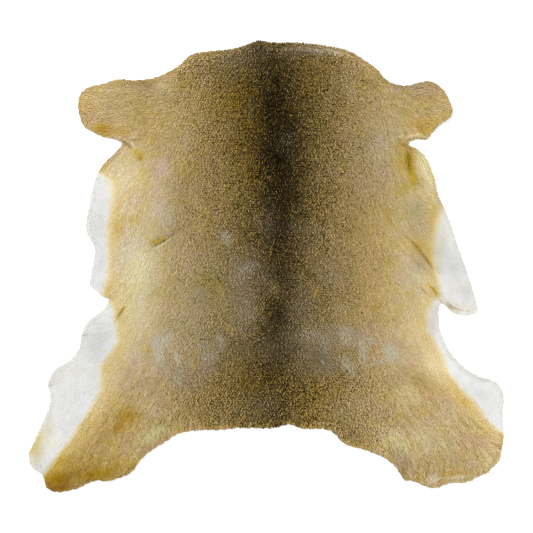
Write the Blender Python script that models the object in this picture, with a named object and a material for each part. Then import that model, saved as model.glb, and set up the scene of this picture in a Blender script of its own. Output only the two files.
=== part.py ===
"""A reindeer hide, tanned with its hair on, lying hair side up on a flat surface.

Run it with: blender --background --python part.py
Units are metres and +Z is up. The neck points along +Y. The origin is on the surface, under the
middle of the hide. The hide is one solid, skin and coat together: flat below, lumpy above, thin at
its rim, with soft folds where the legs and the flanks were opened out.
"""

import math
import random

import bmesh
import bpy
import numpy as np
from mathutils import Vector, noise
from mathutils.geometry import delaunay_2d_cdt, interpolate_bezier

MM = 0.001

# Driving sizes, in metres.
SKIN = 0.0020  # tanned skin
BACK_COAT = 0.0125  # height of the coat above the skin, along the spine
FLANK_COAT = 0.0075  # the same at the outer flanks and on the legs
HALF_WIDTH = 0.600  # from the spine to the outermost flank
RIM_HEIGHT = 0.0032  # height of the wall of hair tips that closes the rim
RIM_ROUND = 0.034  # width over which the coat falls away to the rim
LOCK_PITCH = 0.0095  # distance along the rim from a lock's tip to the dip beside it
LOCK_CALM = 0.022  # the locks die out this near a sharp corner
TIP_TAPER = 0.0016  # how much lower a lock's tip is than the wall
TIP_RISE = 0.0010  # how far the underside of a lock's tip stands off the surface

# Spacing of the points that carry the shape, in metres.
GRID_PITCH = 0.020  # over the upper side
EDGE_PITCH = 0.0125  # along the row just inside the rim
FOLD_PITCH = 0.011  # along a fold
FLOOR_PITCH = 0.060  # over the underside
LUMPS = ((0.210, 0.0016), (0.085, 0.0013), (0.042, 0.0008))  # the coat's lumps: length, height

# The outline, in mm from the middle of the hide, in eight stretches clockwise from the neck's left.
# Each row: x, y, turn. A "round" point is passed in a smooth curve, a "sharp" one is a corner.
NECK = (
    (-188, 535, "round"),
    (-150, 542, "round"),
    (-90, 548, "round"),
    (-52, 558, "round"),
    (-21, 570, "sharp"),
    (11, 564, "round"),
    (85, 563, "round"),
    (155, 556, "round"),
    (211, 542, "round"),
    (246, 520, "round"),
    (279, 497, "round"),
)
RIGHT_FORELEG = (
    (297, 474, "round"),
    (314, 463, "round"),
    (350, 455, "round"),
    (383, 462, "round"),
    (413, 467, "round"),
    (443, 449, "round"),
    (461, 419, "round"),
    (469, 386, "round"),
    (433, 354, "round"),
    (405, 320, "sharp"),
    (383, 323, "round"),
    (352, 310, "sharp"),
)
RIGHT_FLANK = (
    (390, 290, "round"),
    (421, 234, "round"),
    (436, 174, "round"),
    (453, 141, "round"),
    (486, 42, "round"),
    (506, -13, "round"),
    (522, -66, "round"),
    (534, -117, "sharp"),
    (501, -121, "round"),
    (441, -89, "sharp"),
    (433, -119, "round"),
    (451, -195, "round"),
    (489, -248, "round"),
    (539, -281, "round"),
)
RIGHT_HIND_LEG = (
    (575, -291, "round"),
    (597, -319, "round"),
    (595, -367, "round"),
    (595, -458, "round"),
    (562, -521, "sharp"),
    (509, -540, "round"),
    (466, -545, "round"),
    (426, -560, "round"),
    (365, -540, "round"),
    (352, -542, "sharp"),
    (322, -498, "round"),
    (259, -463, "round"),
)
RUMP = (
    (196, -445, "round"),
    (163, -414, "round"),
    (85, -407, "round"),
    (57, -398, "round"),
    (21, -407, "round"),
    (-95, -407, "round"),
    (-208, -414, "round"),
)
LEFT_HIND_LEG = (
    (-256, -443, "round"),
    (-317, -487, "round"),
    (-342, -522, "round"),
    (-398, -545, "round"),
    (-426, -541, "round"),
    (-491, -565, "round"),
    (-547, -564, "round"),
    (-562, -524, "sharp"),
    (-590, -508, "round"),
    (-599, -473, "sharp"),
    (-570, -412, "round"),
)
LEFT_FLANK = (
    (-544, -347, "round"),
    (-552, -301, "sharp"),
    (-534, -265, "round"),
    (-496, -241, "round"),
    (-471, -210, "round"),
    (-465, -177, "sharp"),
    (-451, -142, "round"),
    (-408, -109, "round"),
    (-394, -81, "sharp"),
    (-418, -74, "round"),
    (-446, -49, "sharp"),
    (-438, -1, "round"),
    (-431, 40, "round"),
    (-453, 90, "round"),
    (-443, 169, "round"),
    (-418, 247, "round"),
    (-370, 300, "round"),
    (-364, 313, "sharp"),
)
LEFT_FORELEG = (
    (-405, 324, "round"),
    (-436, 340, "round"),
    (-461, 356, "round"),
    (-474, 416, "round"),
    (-461, 443, "round"),
    (-405, 462, "round"),
    (-370, 472, "round"),
    (-335, 469, "round"),
    (-289, 474, "round"),
    (-239, 494, "round"),
    (-213, 512, "round"),
)

# Each row: the stretch, and how far its locks of hair stand out past its mean line, in mm.
STRETCHES = (
    (NECK, 1.6),
    (RIGHT_FORELEG, 1.8),
    (RIGHT_FLANK, 1.4),
    (RIGHT_HIND_LEG, 2.2),
    (RUMP, 2.8),
    (LEFT_HIND_LEG, 2.2),
    (LEFT_FLANK, 1.4),
    (LEFT_FORELEG, 1.8),
)

# The folds, in mm. Each row: start x, y, middle x, y, end x, y, half width, height (below 0 a trough).
FOLDS = (
    (-294, 47, -222, 86, -155, 105, 17, -4.0),  # long crease across the left flank
    (-296, 66, -232, 108, -168, 124, 20, 2.6),  # the swell of coat above it
    (-364, 313, -350, 306, -330, 298, 12, -4.2),  # slit of the left armpit
    (-326, 296, -318, 272, -312, 240, 17, 3.6),  # pucker below the left armpit
    (362, 296, 368, 262, 366, 222, 13, -4.6),  # dark fold below the right armpit
    (344, 292, 348, 262, 346, 226, 16, 3.2),  # swell beside it
    (368, 70, 400, 26, 430, -14, 14, -4.2),  # crease into the right flank flap
    (384, 82, 418, 36, 448, -4, 16, 3.0),  # swell on its outer side
    (388, -34, 404, -62, 424, -94, 12, -3.4),  # short crease above the right notch
    (424, -42, 432, -58, 430, -80, 12, 3.2),  # pucker at the right notch
    (-410, -46, -396, -56, -388, -78, 14, 3.6),  # fold at the root of the left flank flap
    (-380, -130, -372, -116, -362, -102, 12, 3.0),  # pucker below the left notch
    (30, 552, 92, 551, 166, 545, 12, 2.4),  # turned edge of the neck
    (330, 333, 384, 336, 432, 366, 13, -2.6),  # furrow along the right foreleg's lower edge
)

# Where the rim curls up off the surface, in mm. Each row: x, y, reach, lift.
CURLS = (
    (100, 574, 96, 4.0),  # neck
    (474, 394, 84, 6.5),  # right foreleg
    (-480, 410, 84, 6.0),  # left foreleg
    (540, -114, 92, 8.0),  # right flank flap
    (-452, -46, 72, 6.0),  # left flank flap, upper corner
    (-470, -178, 60, 4.5),  # left flank flap, lower corner
    (606, -390, 96, 4.5),  # right hind leg
    (430, -566, 74, 4.0),  # right hind leg, foot
    (-596, -500, 92, 6.0),  # left hind leg
)


def clear_scene():
    for old in list(bpy.data.objects):
        bpy.data.objects.remove(old)


def outline_curve():
    """The outline as one closed 2D Bezier curve, and how far the locks stand out at each point."""
    rows = [(row, lock) for stretch, lock in STRETCHES for row in stretch]
    curve = bpy.data.curves.new("hide outline", "CURVE")
    curve.dimensions = "2D"
    spline = curve.splines.new("BEZIER")
    spline.bezier_points.add(len(rows) - 1)
    spline.use_cyclic_u = True
    for point, ((x, y, turn), _) in zip(spline.bezier_points, rows):
        point.co = (x * MM, y * MM, 0.0)
        handle = "AUTO" if turn == "round" else "VECTOR"
        point.handle_left_type = handle
        point.handle_right_type = handle
    guide = bpy.data.objects.new("outline guide", curve)
    guide.hide_render = True
    guide.display_type = "WIRE"
    collection("guides", hidden=True).objects.link(guide)
    bpy.context.view_layer.update()
    sharp = [Vector((x * MM, y * MM)) for (x, y, turn), _ in rows if turn == "sharp"]
    return spline.bezier_points, [lock * MM for _, lock in rows], sharp


def collection(name, hidden=False):
    found = bpy.data.collections.get(name)
    if found is None:
        found = bpy.data.collections.new(name)
        bpy.context.scene.collection.children.link(found)
        found.hide_render = hidden
    return found


def rim_line(points, locks):
    """Evenly spaced points along the Bezier curve, each with the reach of the locks there."""
    line = []
    for here, after, lock in zip(points, list(points[1:]) + [points[0]], locks):
        length = (after.co - here.co).length
        steps = 2 * max(1, round(length / LOCK_PITCH / 2))
        run = interpolate_bezier(here.co, here.handle_right, after.handle_left, after.co, steps + 1)
        line += [(point.to_2d(), lock) for point in run[:-1]]
    return line


def ragged_rim(line, sharp):
    """The rim with a lock's tip at every second point and a dip between: x, y and how proud it is."""
    draw = random.Random(11)
    rim = []
    for index, (point, lock) in enumerate(line):
        before = line[index - 1][0]
        after = line[(index + 1) % len(line)][0]
        along = (after - before).normalized()
        outward = Vector((-along.y, along.x))
        calm = min(1.0, min((point - corner).length for corner in sharp) / LOCK_CALM)
        proud = draw.uniform(0.35, 1.0) if index % 2 else -draw.uniform(0.2, 0.7)
        rim.append((point + outward * (lock * proud * calm), max(proud, 0.0) * calm))
    return rim


def distances(places, line):
    """Distance from each place to the closed line, both as arrays of x, y."""
    start = line
    step = np.roll(line, -1, axis=0) - line
    length2 = np.maximum((step**2).sum(axis=1), 1e-12)
    nearest = np.full(len(places), np.inf)
    for first, run, size2 in zip(start, step, length2):
        share = np.clip(((places - first) @ run) / size2, 0.0, 1.0)
        gap = places - first - share[:, None] * run
        nearest = np.minimum(nearest, (gap**2).sum(axis=1))
    return np.sqrt(nearest)


def inside(places, line):
    """True for each place inside the closed line, by counting the edges that it crosses."""
    crossed = np.zeros(len(places), bool)
    for (x0, y0), (x1, y1) in zip(line, np.roll(line, -1, axis=0)):
        between = (y0 > places[:, 1]) != (y1 > places[:, 1])
        rise = (y1 - y0) if y1 != y0 else 1e-12
        at_x = x0 + (places[:, 1] - y0) * (x1 - x0) / rise
        crossed ^= between & (places[:, 0] < at_x)
    return crossed


def hex_points(pitch, line, clear):
    """Points on an even triangular grid, at least the clear distance inside the line."""
    low = line.min(axis=0)
    high = line.max(axis=0)
    rows = []
    for row in range(int((high[1] - low[1]) / (pitch * math.sqrt(0.75))) + 1):
        y = low[1] + row * pitch * math.sqrt(0.75)
        shift = pitch / 2 if row % 2 else 0.0
        rows += [(x, y) for x in np.arange(low[0] + shift, high[0], pitch)]
    places = np.array(rows)
    places = places[inside(places, line)]
    return places[distances(places, line) > clear]


def fold_line(row):
    """Points along a fold, bent through its middle."""
    start = Vector(row[0:2]) * MM
    middle = Vector(row[2:4]) * MM
    end = Vector(row[4:6]) * MM
    pull = middle * 2 - (start + end) / 2
    steps = max(3, round((end - start).length / FOLD_PITCH))
    line = []
    for step in range(steps + 1):
        share = step / steps
        line.append(start * (1 - share) ** 2 + pull * (2 * share * (1 - share)) + end * share**2)
    return line


def fold_points():
    """Points along each fold's line and along both of its sides."""
    places = []
    for row in FOLDS:
        line = fold_line(row)
        along = (line[-1] - line[0]).normalized()
        across = Vector((-along.y, along.x))
        half_width = row[6] * MM
        for share in (-0.8, 0.0, 0.8):
            places += [tuple(point + across * half_width * share) for point in line]
    return np.array(places)


def add_apart(kept, places, gap):
    """The kept places, and each new one that lies at least the gap from all those before it."""
    kept = list(kept)
    for place in places:
        if not kept or ((np.array(kept) - place) ** 2).sum(axis=1).min() > gap**2:
            kept.append(place)
    return np.array(kept)


def top_places(rim):
    """The points of the upper side: the folds first, then a row inside the rim, then an even grid."""
    folds = fold_points()
    folds = folds[inside(folds, rim)]
    folds = folds[distances(folds, rim) > 0.6 * EDGE_PITCH]
    places = add_apart([], folds, 0.6 * FOLD_PITCH)
    edge = hex_points(0.8 * EDGE_PITCH, rim, 0.7 * EDGE_PITCH)
    edge = edge[distances(edge, rim) < 1.25 * EDGE_PITCH]
    places = add_apart(places, edge, EDGE_PITCH)
    return add_apart(places, hex_points(GRID_PITCH, rim, GRID_PITCH), 0.7 * GRID_PITCH)


def smooth(share):
    share = np.clip(share, 0.0, 1.0)
    return share * share * (3.0 - 2.0 * share)


def lift(places):
    """How far the underside stands off the surface, which is nothing but where the rim curls up."""
    total = np.zeros(len(places))
    for x, y, reach, height in CURLS:
        gap = np.hypot(places[:, 0] - x * MM, places[:, 1] - y * MM)
        total = np.maximum(total, height * MM * smooth(1.0 - gap / (reach * MM)))
    return np.where(total < 0.0002, 0.0, total)


def fold_height(places):
    total = np.zeros(len(places))
    for row in FOLDS:
        line = np.array([tuple(point) for point in fold_line(row)])
        gap = np.full(len(places), np.inf)
        for start, end in zip(line[:-1], line[1:]):
            run = end - start
            share = np.clip((places - start) @ run / (run @ run), 0.0, 1.0)
            gap = np.minimum(gap, np.hypot(*(places - start - share[:, None] * run).T))
        total += row[7] * MM * smooth(1.0 - gap / (row[6] * MM))
    return total


def lumps(places):
    total = np.zeros(len(places))
    for index, (wavelength, height) in enumerate(LUMPS):
        offset = Vector((3.7 * index, 1.9 * index, 0.4))
        for number, (x, y) in enumerate(places):
            total[number] += height * noise.noise(Vector((x, y, 0.0)) * (1 / wavelength) + offset)
    return total


def coat_height(places, rim):
    """Height of the upper side above the underside."""
    side = smooth(np.abs(places[:, 0]) / HALF_WIDTH)
    full = BACK_COAT + (FLANK_COAT - BACK_COAT) * side + fold_height(places) + lumps(places)
    share = np.clip(distances(places, rim) / RIM_ROUND, 0.0, 1.0)
    rounded = np.sqrt(1.0 - (1.0 - share) ** 2)
    return SKIN + RIM_HEIGHT * (1.0 - rounded) + full * rounded


def surface(rim, places):
    """Points and triangles of one side, on the rim and on the places inside it."""
    count = len(rim)
    points = [Vector(place) for place in np.vstack((rim, places))]
    edges = [(index, (index + 1) % count) for index in range(count)]
    points, _, faces, _, _, _ = delaunay_2d_cdt(points, edges, [], 1, 1e-6)
    return np.array([tuple(point) for point in points]), faces


def hide_mesh():
    points, locks, sharp = outline_curve()
    rim = ragged_rim(rim_line(points, locks), sharp)
    proud = np.array([share for _, share in rim])
    rim = np.array([tuple(point) for point, _ in rim])
    rim -= (rim.min(axis=0) + rim.max(axis=0)) / 2
    count = len(rim)

    above, above_faces = surface(rim, top_places(rim))
    below, below_faces = surface(rim, hex_points(FLOOR_PITCH, rim, 0.030))
    below_z = lift(below)
    below_z[:count] += TIP_RISE * proud
    above_z = lift(above) + coat_height(above, rim)
    above_z[:count] = lift(rim) + SKIN + RIM_HEIGHT - TIP_TAPER * proud

    shape = bmesh.new()
    top = [shape.verts.new((x, y, z)) for (x, y), z in zip(above, above_z)]
    bottom = [shape.verts.new((x, y, z)) for (x, y), z in zip(below, below_z)]
    for face in above_faces:
        shape.faces.new([top[index] for index in face])
    for face in below_faces:
        shape.faces.new([bottom[index] for index in reversed(face)])
    upper_rim = [edge for edge in shape.edges if edge.is_boundary and edge.verts[0] in set(top)]
    lower_rim = [edge for edge in shape.edges if edge.is_boundary and edge.verts[0] in set(bottom)]
    bmesh.ops.bridge_loops(shape, edges=upper_rim + lower_rim)
    bmesh.ops.triangulate(shape, faces=shape.faces[:])
    bmesh.ops.recalc_face_normals(shape, faces=shape.faces[:])
    mesh = bpy.data.meshes.new("hide")
    shape.to_mesh(mesh)
    shape.free()
    return mesh


def coat_material():
    material = bpy.data.materials.new("tan coat")
    material.use_nodes = True
    shader = material.node_tree.nodes["Principled BSDF"]
    shader.inputs["Base Color"].default_value = (0.36, 0.26, 0.12, 1.0)
    shader.inputs["Roughness"].default_value = 0.85
    shader.inputs["Metallic"].default_value = 0.0
    return material


def build():
    clear_scene()
    mesh = hide_mesh()
    mesh.materials.append(coat_material())
    mesh.shade_smooth()
    hide = bpy.data.objects.new("hide", mesh)
    collection("reindeer hide").objects.link(hide)


build()
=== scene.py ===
"""The looks of a reindeer hide, tanned with its hair on, lying hair side up.

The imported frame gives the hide's outline, the lumps of its coat and the places where its rim curls
up. Three layers are made on it: the tanned skin, the dense undercoat, and the guard hair, which is
real geometry: joined meshes of small tapered blades. Places and sizes in the tables are millimetres
in the frame's axes, +Y towards the neck and +X to the hide's right. Turns and headings are degrees,
0 along +X and -90 towards the rump. Strengths are percent.
"""
import math

import bmesh
import bpy
import numpy as np
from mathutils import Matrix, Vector
from mathutils.bvhtree import BVHTree
from mathutils.kdtree import KDTree


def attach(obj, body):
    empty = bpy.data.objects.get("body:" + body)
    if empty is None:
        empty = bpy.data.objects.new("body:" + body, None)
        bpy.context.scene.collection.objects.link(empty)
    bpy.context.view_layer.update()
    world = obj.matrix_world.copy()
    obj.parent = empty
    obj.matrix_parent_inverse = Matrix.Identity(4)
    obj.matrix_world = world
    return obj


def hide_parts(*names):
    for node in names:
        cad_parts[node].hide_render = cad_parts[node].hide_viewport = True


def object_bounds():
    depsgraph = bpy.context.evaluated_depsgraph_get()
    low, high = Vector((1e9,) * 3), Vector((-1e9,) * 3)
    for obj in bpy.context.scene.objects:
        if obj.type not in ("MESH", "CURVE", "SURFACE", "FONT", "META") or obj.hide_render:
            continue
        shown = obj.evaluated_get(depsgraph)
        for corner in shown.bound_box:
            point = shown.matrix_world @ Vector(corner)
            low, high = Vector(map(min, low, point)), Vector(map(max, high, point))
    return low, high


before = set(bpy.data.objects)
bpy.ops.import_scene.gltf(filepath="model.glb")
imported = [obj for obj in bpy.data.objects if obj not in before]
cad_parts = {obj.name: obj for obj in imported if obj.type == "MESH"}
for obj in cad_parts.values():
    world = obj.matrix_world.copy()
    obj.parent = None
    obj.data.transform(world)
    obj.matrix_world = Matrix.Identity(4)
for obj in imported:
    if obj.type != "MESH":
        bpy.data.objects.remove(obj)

CAD_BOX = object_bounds()
MM = 0.001
PERCENT = 100

# ---------------------------------------------------------------- sizes, in metres

SKIN = 0.0020  # tanned skin
SKIN_INSET = 0.0055  # the hair reaches this far past the cut edge of the skin
SKIN_PITCH = 0.0125
UNDERCOAT_INSET = 0.0070
UNDERCOAT_SHARE = 0.50  # the dense undercoat fills this share of the coat's height
UNDERCOAT_PITCH = 0.0090
UNDERCOAT_LEAST = 0.0012  # it is this thick in the deepest crease
UNDERCOAT_BASE = 0.8  # its underside lies in the skin, this share of the skin's thickness up
SHEET_HALF = 0.66  # half the side of the grid from which skin and undercoat are cut
FIELD_PITCH = 0.0030
FIELD_MARGIN = 0.030
GRID_MARGIN = 0.010
SWELL_MARGIN = 0.100  # past the hide's box, as the two above
RIM_STEP = 0.0010  # from one point that marks the rim to the next
SLOPE_STEP = 0.0040  # over which the way to the rim is read
LEAST_STEEP = 0.25  # of the squared slope, so that no edge point is moved too far
TIP_SLOPE_STEP = 0.0030  # the same two for the tips of the hair
TIP_LEAST_STEEP = 0.30
TOP_FACE = 0.3  # a face whose normal points up more than this belongs to the top
CREASE_REACH = 0.0054  # the wool is kept clear of creases this far to each side

# In a pair, the first is for the back and the second for the flanks, where the hair lies sleek.
SPINE_X = 0.03
SLEEK_FROM = 0.16  # this far from the spine the coat begins to lie sleek
SLEEK_TO = 0.36  # and from here on it is all sleek
HAIR_PITCH = 0.00164  # from one root to the next
ROOT_JITTER = 0.5
HAIR_HALF_WIDTH = 0.00060
HAIR_RUN = (0.0038, 0.0092)  # how far a guard hair reaches along the hide
HAIR_SINK = 0.0006  # how deep its root stands in the undercoat
HAIR_CLEAR = 0.0006  # how far its tip stays above the underside
HAIR_BEND = 0.42  # where along its run it bends over
HAIR_BEND_HEIGHT = 0.72  # how much of its height it has there
HAIR_STRAY = 0.17  # how far, in radians, single hairs lie out of line
LIE_SWELLS = ((0.120, 0.28), (0.035, 0.22))  # how far, in radians, the lie swings: swell, swing
EDGE_SWELLS = ((0.060, 0.006), (0.018, 0.003))  # how far the edges of patches wander: swell, reach
NEAR = 0.25  # tufts and the white's edge wander this share of it
LOCK_PITCH = 0.0070  # the guard hair stands in small locks about this far apart
LOCK_JITTER = 0.25
LOCK_PULL = (0.50, 0.08)  # how far a tip is drawn to the middle line of its lock
LOCK_SHAPE = (1.45, 1.3)  # how many times longer than wide a lock is
LOCK_SWING = (1.00, 0.70)  # how far, in radians, the locks lie out of line
LOCK_HEIGHT = 0.0011  # how much higher a pale lock stands than a dark one
GAP_DEPTH = 0.0008  # how much lower the hair stands between two locks
TIP_UNEVENNESS = 0.0008
SEEN = 0.65  # where along a hair the eye meets it
STROKE_WIDTH = 0.0042  # hairs side by side share their shade in strokes about this wide
BROAD_STROKE_WIDTH = 0.0110
STROKE_REACH = (0.0060, 0.0110)  # how far a stroke is drawn out each way along the hair
RIM_BAND = 0.015  # over this width the hair turns to point out over the rim
STRIPS = (  # name, from x, to x
    ("left_flank_hair", -1.0, -0.262),
    ("left_side_hair", -0.262, -0.092),
    ("back_hair", -0.092, 0.092),
    ("right_side_hair", 0.092, 0.262),
    ("right_flank_hair", 0.262, 1.0),
)
RIM_HAIR_PITCH = 0.0012  # along the rim more hair stands closer together
RIM_HAIR_BAND = 0.0095
RIM_HAIR_PAST = 0.0024  # its tips reach this far past the rim
RIM_HAIR_SPARE = 0.0080  # and this much more where it is long, or less where it is short
RIM_ROOTS_PAST = 0.0010  # roots stand this far past the edge of the undercoat
BLADE_ROW = 0.005  # blades are listed in rows this wide
BAKE_INSET = 0.16  # of a blade's square in the map, left free on each side

HAIR_SEED = 7
LOCK_SEED = 17
LIE_SEED = 31
EDGE_SEEDS = (41, 43)
STROKE_SEED = 51
BROAD_STROKE_SEED = 52

# ---------------------------------------------------------------- tables

# The spine: y, x of its line, how pale the coat is on it from 0 to 1, and how far its dark spreads.
SPINE = (
    (570, 8, 0.25, 196),
    (520, 16, 0.19, 170),
    (400, 28, 0.03, 134),
    (300, 33, 0.025, 130),
    (190, 36, 0.05, 126),
    (90, 27, 0.105, 130),
    (0, 30, 0.185, 140),
    (-110, 36, 0.16, 130),
    (-210, 28, 0.17, 146),
    (-310, 18, 0.26, 176),
    (-420, 12, 0.30, 172),
)

# Where the tan coat turns white: the side on which the white lies, and y, x down each line.
WHITE_LINES = (
    (-1, ((240, -425), (214, -386), (180, -383), (143, -388), (105, -396), (67, -395), (17, -393),
          (-21, -396), (-59, -406), (-78, -412))),
    (-1, ((-84, -393), (-102, -385), (-114, -378), (-135, -380), (-147, -373), (-193, -371),
          (-210, -382), (-251, -413), (-278, -413), (-311, -412), (-354, -436), (-392, -460),
          (-433, -485), (-468, -514), (-508, -544), (-534, -560))),
    (1, ((158, 446), (136, 436), (105, 426), (67, 419), (30, 415), (4, 419), (-21, 428),
         (-54, 431), (-74, 433))),
    (1, ((-79, 421), (-92, 413), (-114, 403), (-160, 401), (-180, 413), (-220, 438), (-268, 454),
         (-309, 486), (-342, 520), (-385, 548), (-417, 584))),
)

# Creases, folds and stray lines of hair, by tint: start x, y, middle x, y, end x, y, half width,
# depth (less than 0 stands proud), strength of the tint. Most of the dark lines, in creases and folds
# and under turned rims, are painted shade on top of the hair's own colour there; the cream lines that
# stand proud are partly painted highlight on ridges and rims and partly pale strokes of hair.
LINES = {
    "amber": (
        (-296, 53, -276, 64, -254, 73, 6.5, 3.2, 100), (-334, 296, -322, 280, -314, 262, 8, 1.6, 100),
        (360, 296, 364, 256, 374, 220, 11, 3, 100), (403, -41, 423, -59, 441, -84, 3.3, 1.6, 90),
        (441, -84, 466, -102, 499, -112, 3.3, 0.4, 90), (-605, -468, -597, -470, -592, -473, 1.8, 0, 60),
    ),
    "umber": (
        (-289, 50, -268, 61, -246, 72, 2.6, 2.2, 100), (-249, 71, -232, 86, -206, 100, 3.4, 1.6, 60),
        (-312, 35, -300, 38, -287, 43, 1.8, 1.6, 90), (-365, 317, -352, 309, -341, 301, 2.6, 2.8, 100),
        (-322, 276, -318, 272, -314, 266, 4, 1, 80), (361, 294, 363, 266, 366, 236, 6, 1.5, 100),
        (370, 218, 380, 208, 392, 204, 6, 0.6, 50), (364, 320, 388, 325, 410, 320, 2.4, 0.8, 80),
        (330, 318, 340, 312, 350, 302, 5, 1, 60), (372, 60, 398, 26, 420, -4, 3.6, 3.4, 100),
        (390, -50, 398, -62, 408, -72, 2, 1, 70), (366, 26, 376, 12, 388, -2, 2.2, 1.2, 50),
        (456, -94, 468, -102, 482, -106, 2.4, 0.8, 80), (-358, -102, -368, -116, -378, -132, 3, 2.6, 100),
        (-428, -476, -416, -468, -403, -458, 2, 1.2, 60), (-2, 302, 18, 282, 42, 254, 3.4, 2.6, 100),
        (456, -97, 476, -107, 494, -112, 2, 0.4, 80), (347, 80, 362, 68, 378, 52, 3, 0.6, 60),
        (368, 249, 375, 229, 388, 214, 3.5, 0.4, 50), (347, 318, 375, 324, 408, 319, 1.8, 0.3, 90),
        (-365, 328, -340, 320, -314, 325, 2.5, 0.4, 50),
    ),
    "ink": (
        (-289, 49, -268, 60, -250, 69, 1.5, 0, 80), (413, -49, 423, -59, 433, -71, 1.5, 0.6, 60),
        (373, 57, 398, 30, 421, -8, 2, 0.6, 45), (360, 295, 357, 275, 362, 249, 2.3, 0.6, 60),
        (-370, 320, -355, 310, -340, 300, 2, 0.4, 60), (-469, -177, -461, -174, -451, -170, 1.8, 0.2, 60),
        (-554, -301, -547, -301, -539, -299, 1.8, 0.2, 60),
        (-595, -498, -590, -506, -582, -513, 1.5, 0.2, 50), (347, 308, 360, 300, 375, 295, 1.3, 0.2, 45),
        (-456, 186, -451, 171, -451, 153, 1.3, 0.1, 40), (357, 295, 360, 282, 365, 270, 2.5, 0.8, 50),
        (1, 297, 16, 285, 42, 260, 2.5, 0.8, 70), (4, 219, 6, 199, 11, 179, 2, 0.3, 35),
        (67, 199, 69, 181, 77, 161, 2.5, 0.3, 40), (110, 515, 120, 507, 133, 502, 1.8, 0.3, 40),
        (-6, 512, 9, 512, 27, 517, 1.8, 0.3, 35), (582, -296, 595, -314, 597, -334, 1.5, 0.2, 40),
    ),
    "cream": (
        (-284, 43, -261, 57, -240, 72, 2.2, -1, 90), (-343, 312, -338, 306, -335, 301, 3.4, -0.6, 100),
        (358, 327, 382, 332, 408, 326, 2.6, -1.2, 100), (350, 324, 378, 330, 408, 324, 2.3, -0.6, 100),
        (-345, 310, -337, 305, -330, 297, 2.5, -0.4, 90), (-67, -28, -59, -11, -44, 7, 1.5, -0.4, 45),
        (-52, -23, -44, -6, -32, 12, 1.5, -0.4, 45), (-37, -18, -32, -3, -19, 12, 1.3, -0.3, 35),
        (-77, -8, -69, 4, -54, 17, 1.3, -0.3, 30),
    ),
    "gold": (
        (-344, 318, -328, 318, -310, 323, 3.6, 1.8, 100), (-312, 250, -322, 232, -334, 204, 4, 0.6, 70),
        (-307, 240, -348, 184, -380, 140, 6, 0.4, 60), (376, 62, 404, 30, 424, 2, 10, 0.4, 90),
        (387, -46, 400, -60, 414, -76, 3, 2.4, 100), (434, -84, 462, -104, 494, -118, 4, 1, 100),
        (-388, -42, -398, -56, -406, -68, 4.4, 1.8, 100), (-354, -100, -366, -116, -378, -136, 6, 0.8, 90),
    ),
    "grey": (
        (428, -2, 434, -12, 440, -24, 1.8, 0.8, 50), (436, 0, 442, -10, 448, -22, 1.6, 0.6, 40),
        (-380, -142, -416, -155, -451, -160, 1.8, 0.3, 22),
        (-383, -155, -416, -170, -456, -175, 1.8, 0.3, 25),
        (-390, -162, -421, -180, -451, -190, 1.5, 0.3, 30),
        (-400, -175, -431, -195, -461, -208, 1.5, 0.3, 32),
        (-405, -185, -428, -205, -451, -218, 1.5, 0.3, 25),
        (-390, -145, -421, -145, -441, -147, 1.8, 0.3, 22),
    ),
    "pale": (
        (130, 549, 165, 544, 200, 530, 8, -0.4, 55),
    ),
    "frost": (
        (-32, 12, -52, -8, -67, -44, 1.8, -0.3, 60), (-42, 15, -59, -3, -77, -33, 1.5, -0.3, 50),
        (-27, 4, -44, -21, -57, -54, 1.5, -0.3, 50), (-49, 12, -69, -3, -87, -23, 1.5, -0.2, 40),
        (-92, -28, -87, -49, -77, -69, 1.3, -0.2, 40), (-67, -54, -59, -74, -52, -99, 1.3, 0, 35),
        (140, -230, 155, -246, 165, -261, 1.3, 0, 45), (244, -195, 241, -225, 256, -251, 5.1, -0.4, 80),
        (244, -193, 256, -183, 277, -188, 3, -0.3, 60), (294, -210, 307, -225, 327, -236, 5.1, -0.4, 70),
        (-72, -23, -59, -3, -37, 12, 1.5, -0.2, 50), (-54, -33, -44, -8, -27, 9, 1.3, -0.2, 40),
    ),
    "shade": (
        (408, 257, 423, 224, 433, 181, 1.3, 0.1, 50), (-446, 214, -451, 189, -456, 169, 1.3, 0.1, 40),
        (600, -337, 597, -367, 597, -397, 1.3, 0.1, 40),
    ),
    "honey": (
        (431, -76, 458, -99, 499, -112, 3.5, 0.2, 100), (-605, -468, -595, -468, -582, -465, 4, 0.1, 100),
    ),
}

# Which way the hair lies: x, y, heading.
FLOW = (
    (10, 560, -92), (30, 300, -90), (40, 100, -90), (35, -150, -90), (20, -400, -90),
    (-100, 540, -104), (-140, 440, -112), (-220, 470, -140), (-250, 400, -150),
    (-330, 420, -172), (-420, 400, -176), (-470, 410, 170), (-450, 350, -150), (-380, 340, -160),
    (170, 500, -72), (240, 440, -52), (300, 390, -44), (380, 420, -16), (450, 400, -14),
    (420, 350, -40), (330, 320, -60),
    (-180, 250, -110), (-260, 230, -128), (-320, 250, -124), (-380, 270, -128), (-420, 190, -118),
    (-300, 120, -118), (-380, 90, -112), (-440, 60, -140), (-420, -30, -125), (-320, -20, -116),
    (230, 230, -70), (320, 180, -62), (390, 240, -74), (420, 160, -66), (340, 60, -58),
    (400, -10, -52), (450, 40, -60), (490, -60, -56), (520, -110, -50),
    (-200, -60, -104), (-330, -100, -124), (-370, -160, -118), (-430, -180, -160),
    (-500, -250, -150), (-520, -340, -122), (-560, -440, -116),
    (230, -60, -76), (330, -100, -56), (400, -190, -58), (460, -260, -56), (540, -340, -44),
    (-200, -300, -106), (-330, -300, -124), (-400, -380, -128), (-480, -470, -126),
    (-540, -530, -112), (-400, -500, -112), (-300, -400, -120),
    (200, -300, -74), (330, -330, -52), (400, -420, -46), (500, -430, -48), (560, -460, -38),
    (350, -500, -70), (420, -530, -88), (500, -520, -80),
    (-120, -400, -96), (130, -400, -84),
)
FLOW_BLEND = 0.03  # metres over which one heading gives way to the next

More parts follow.
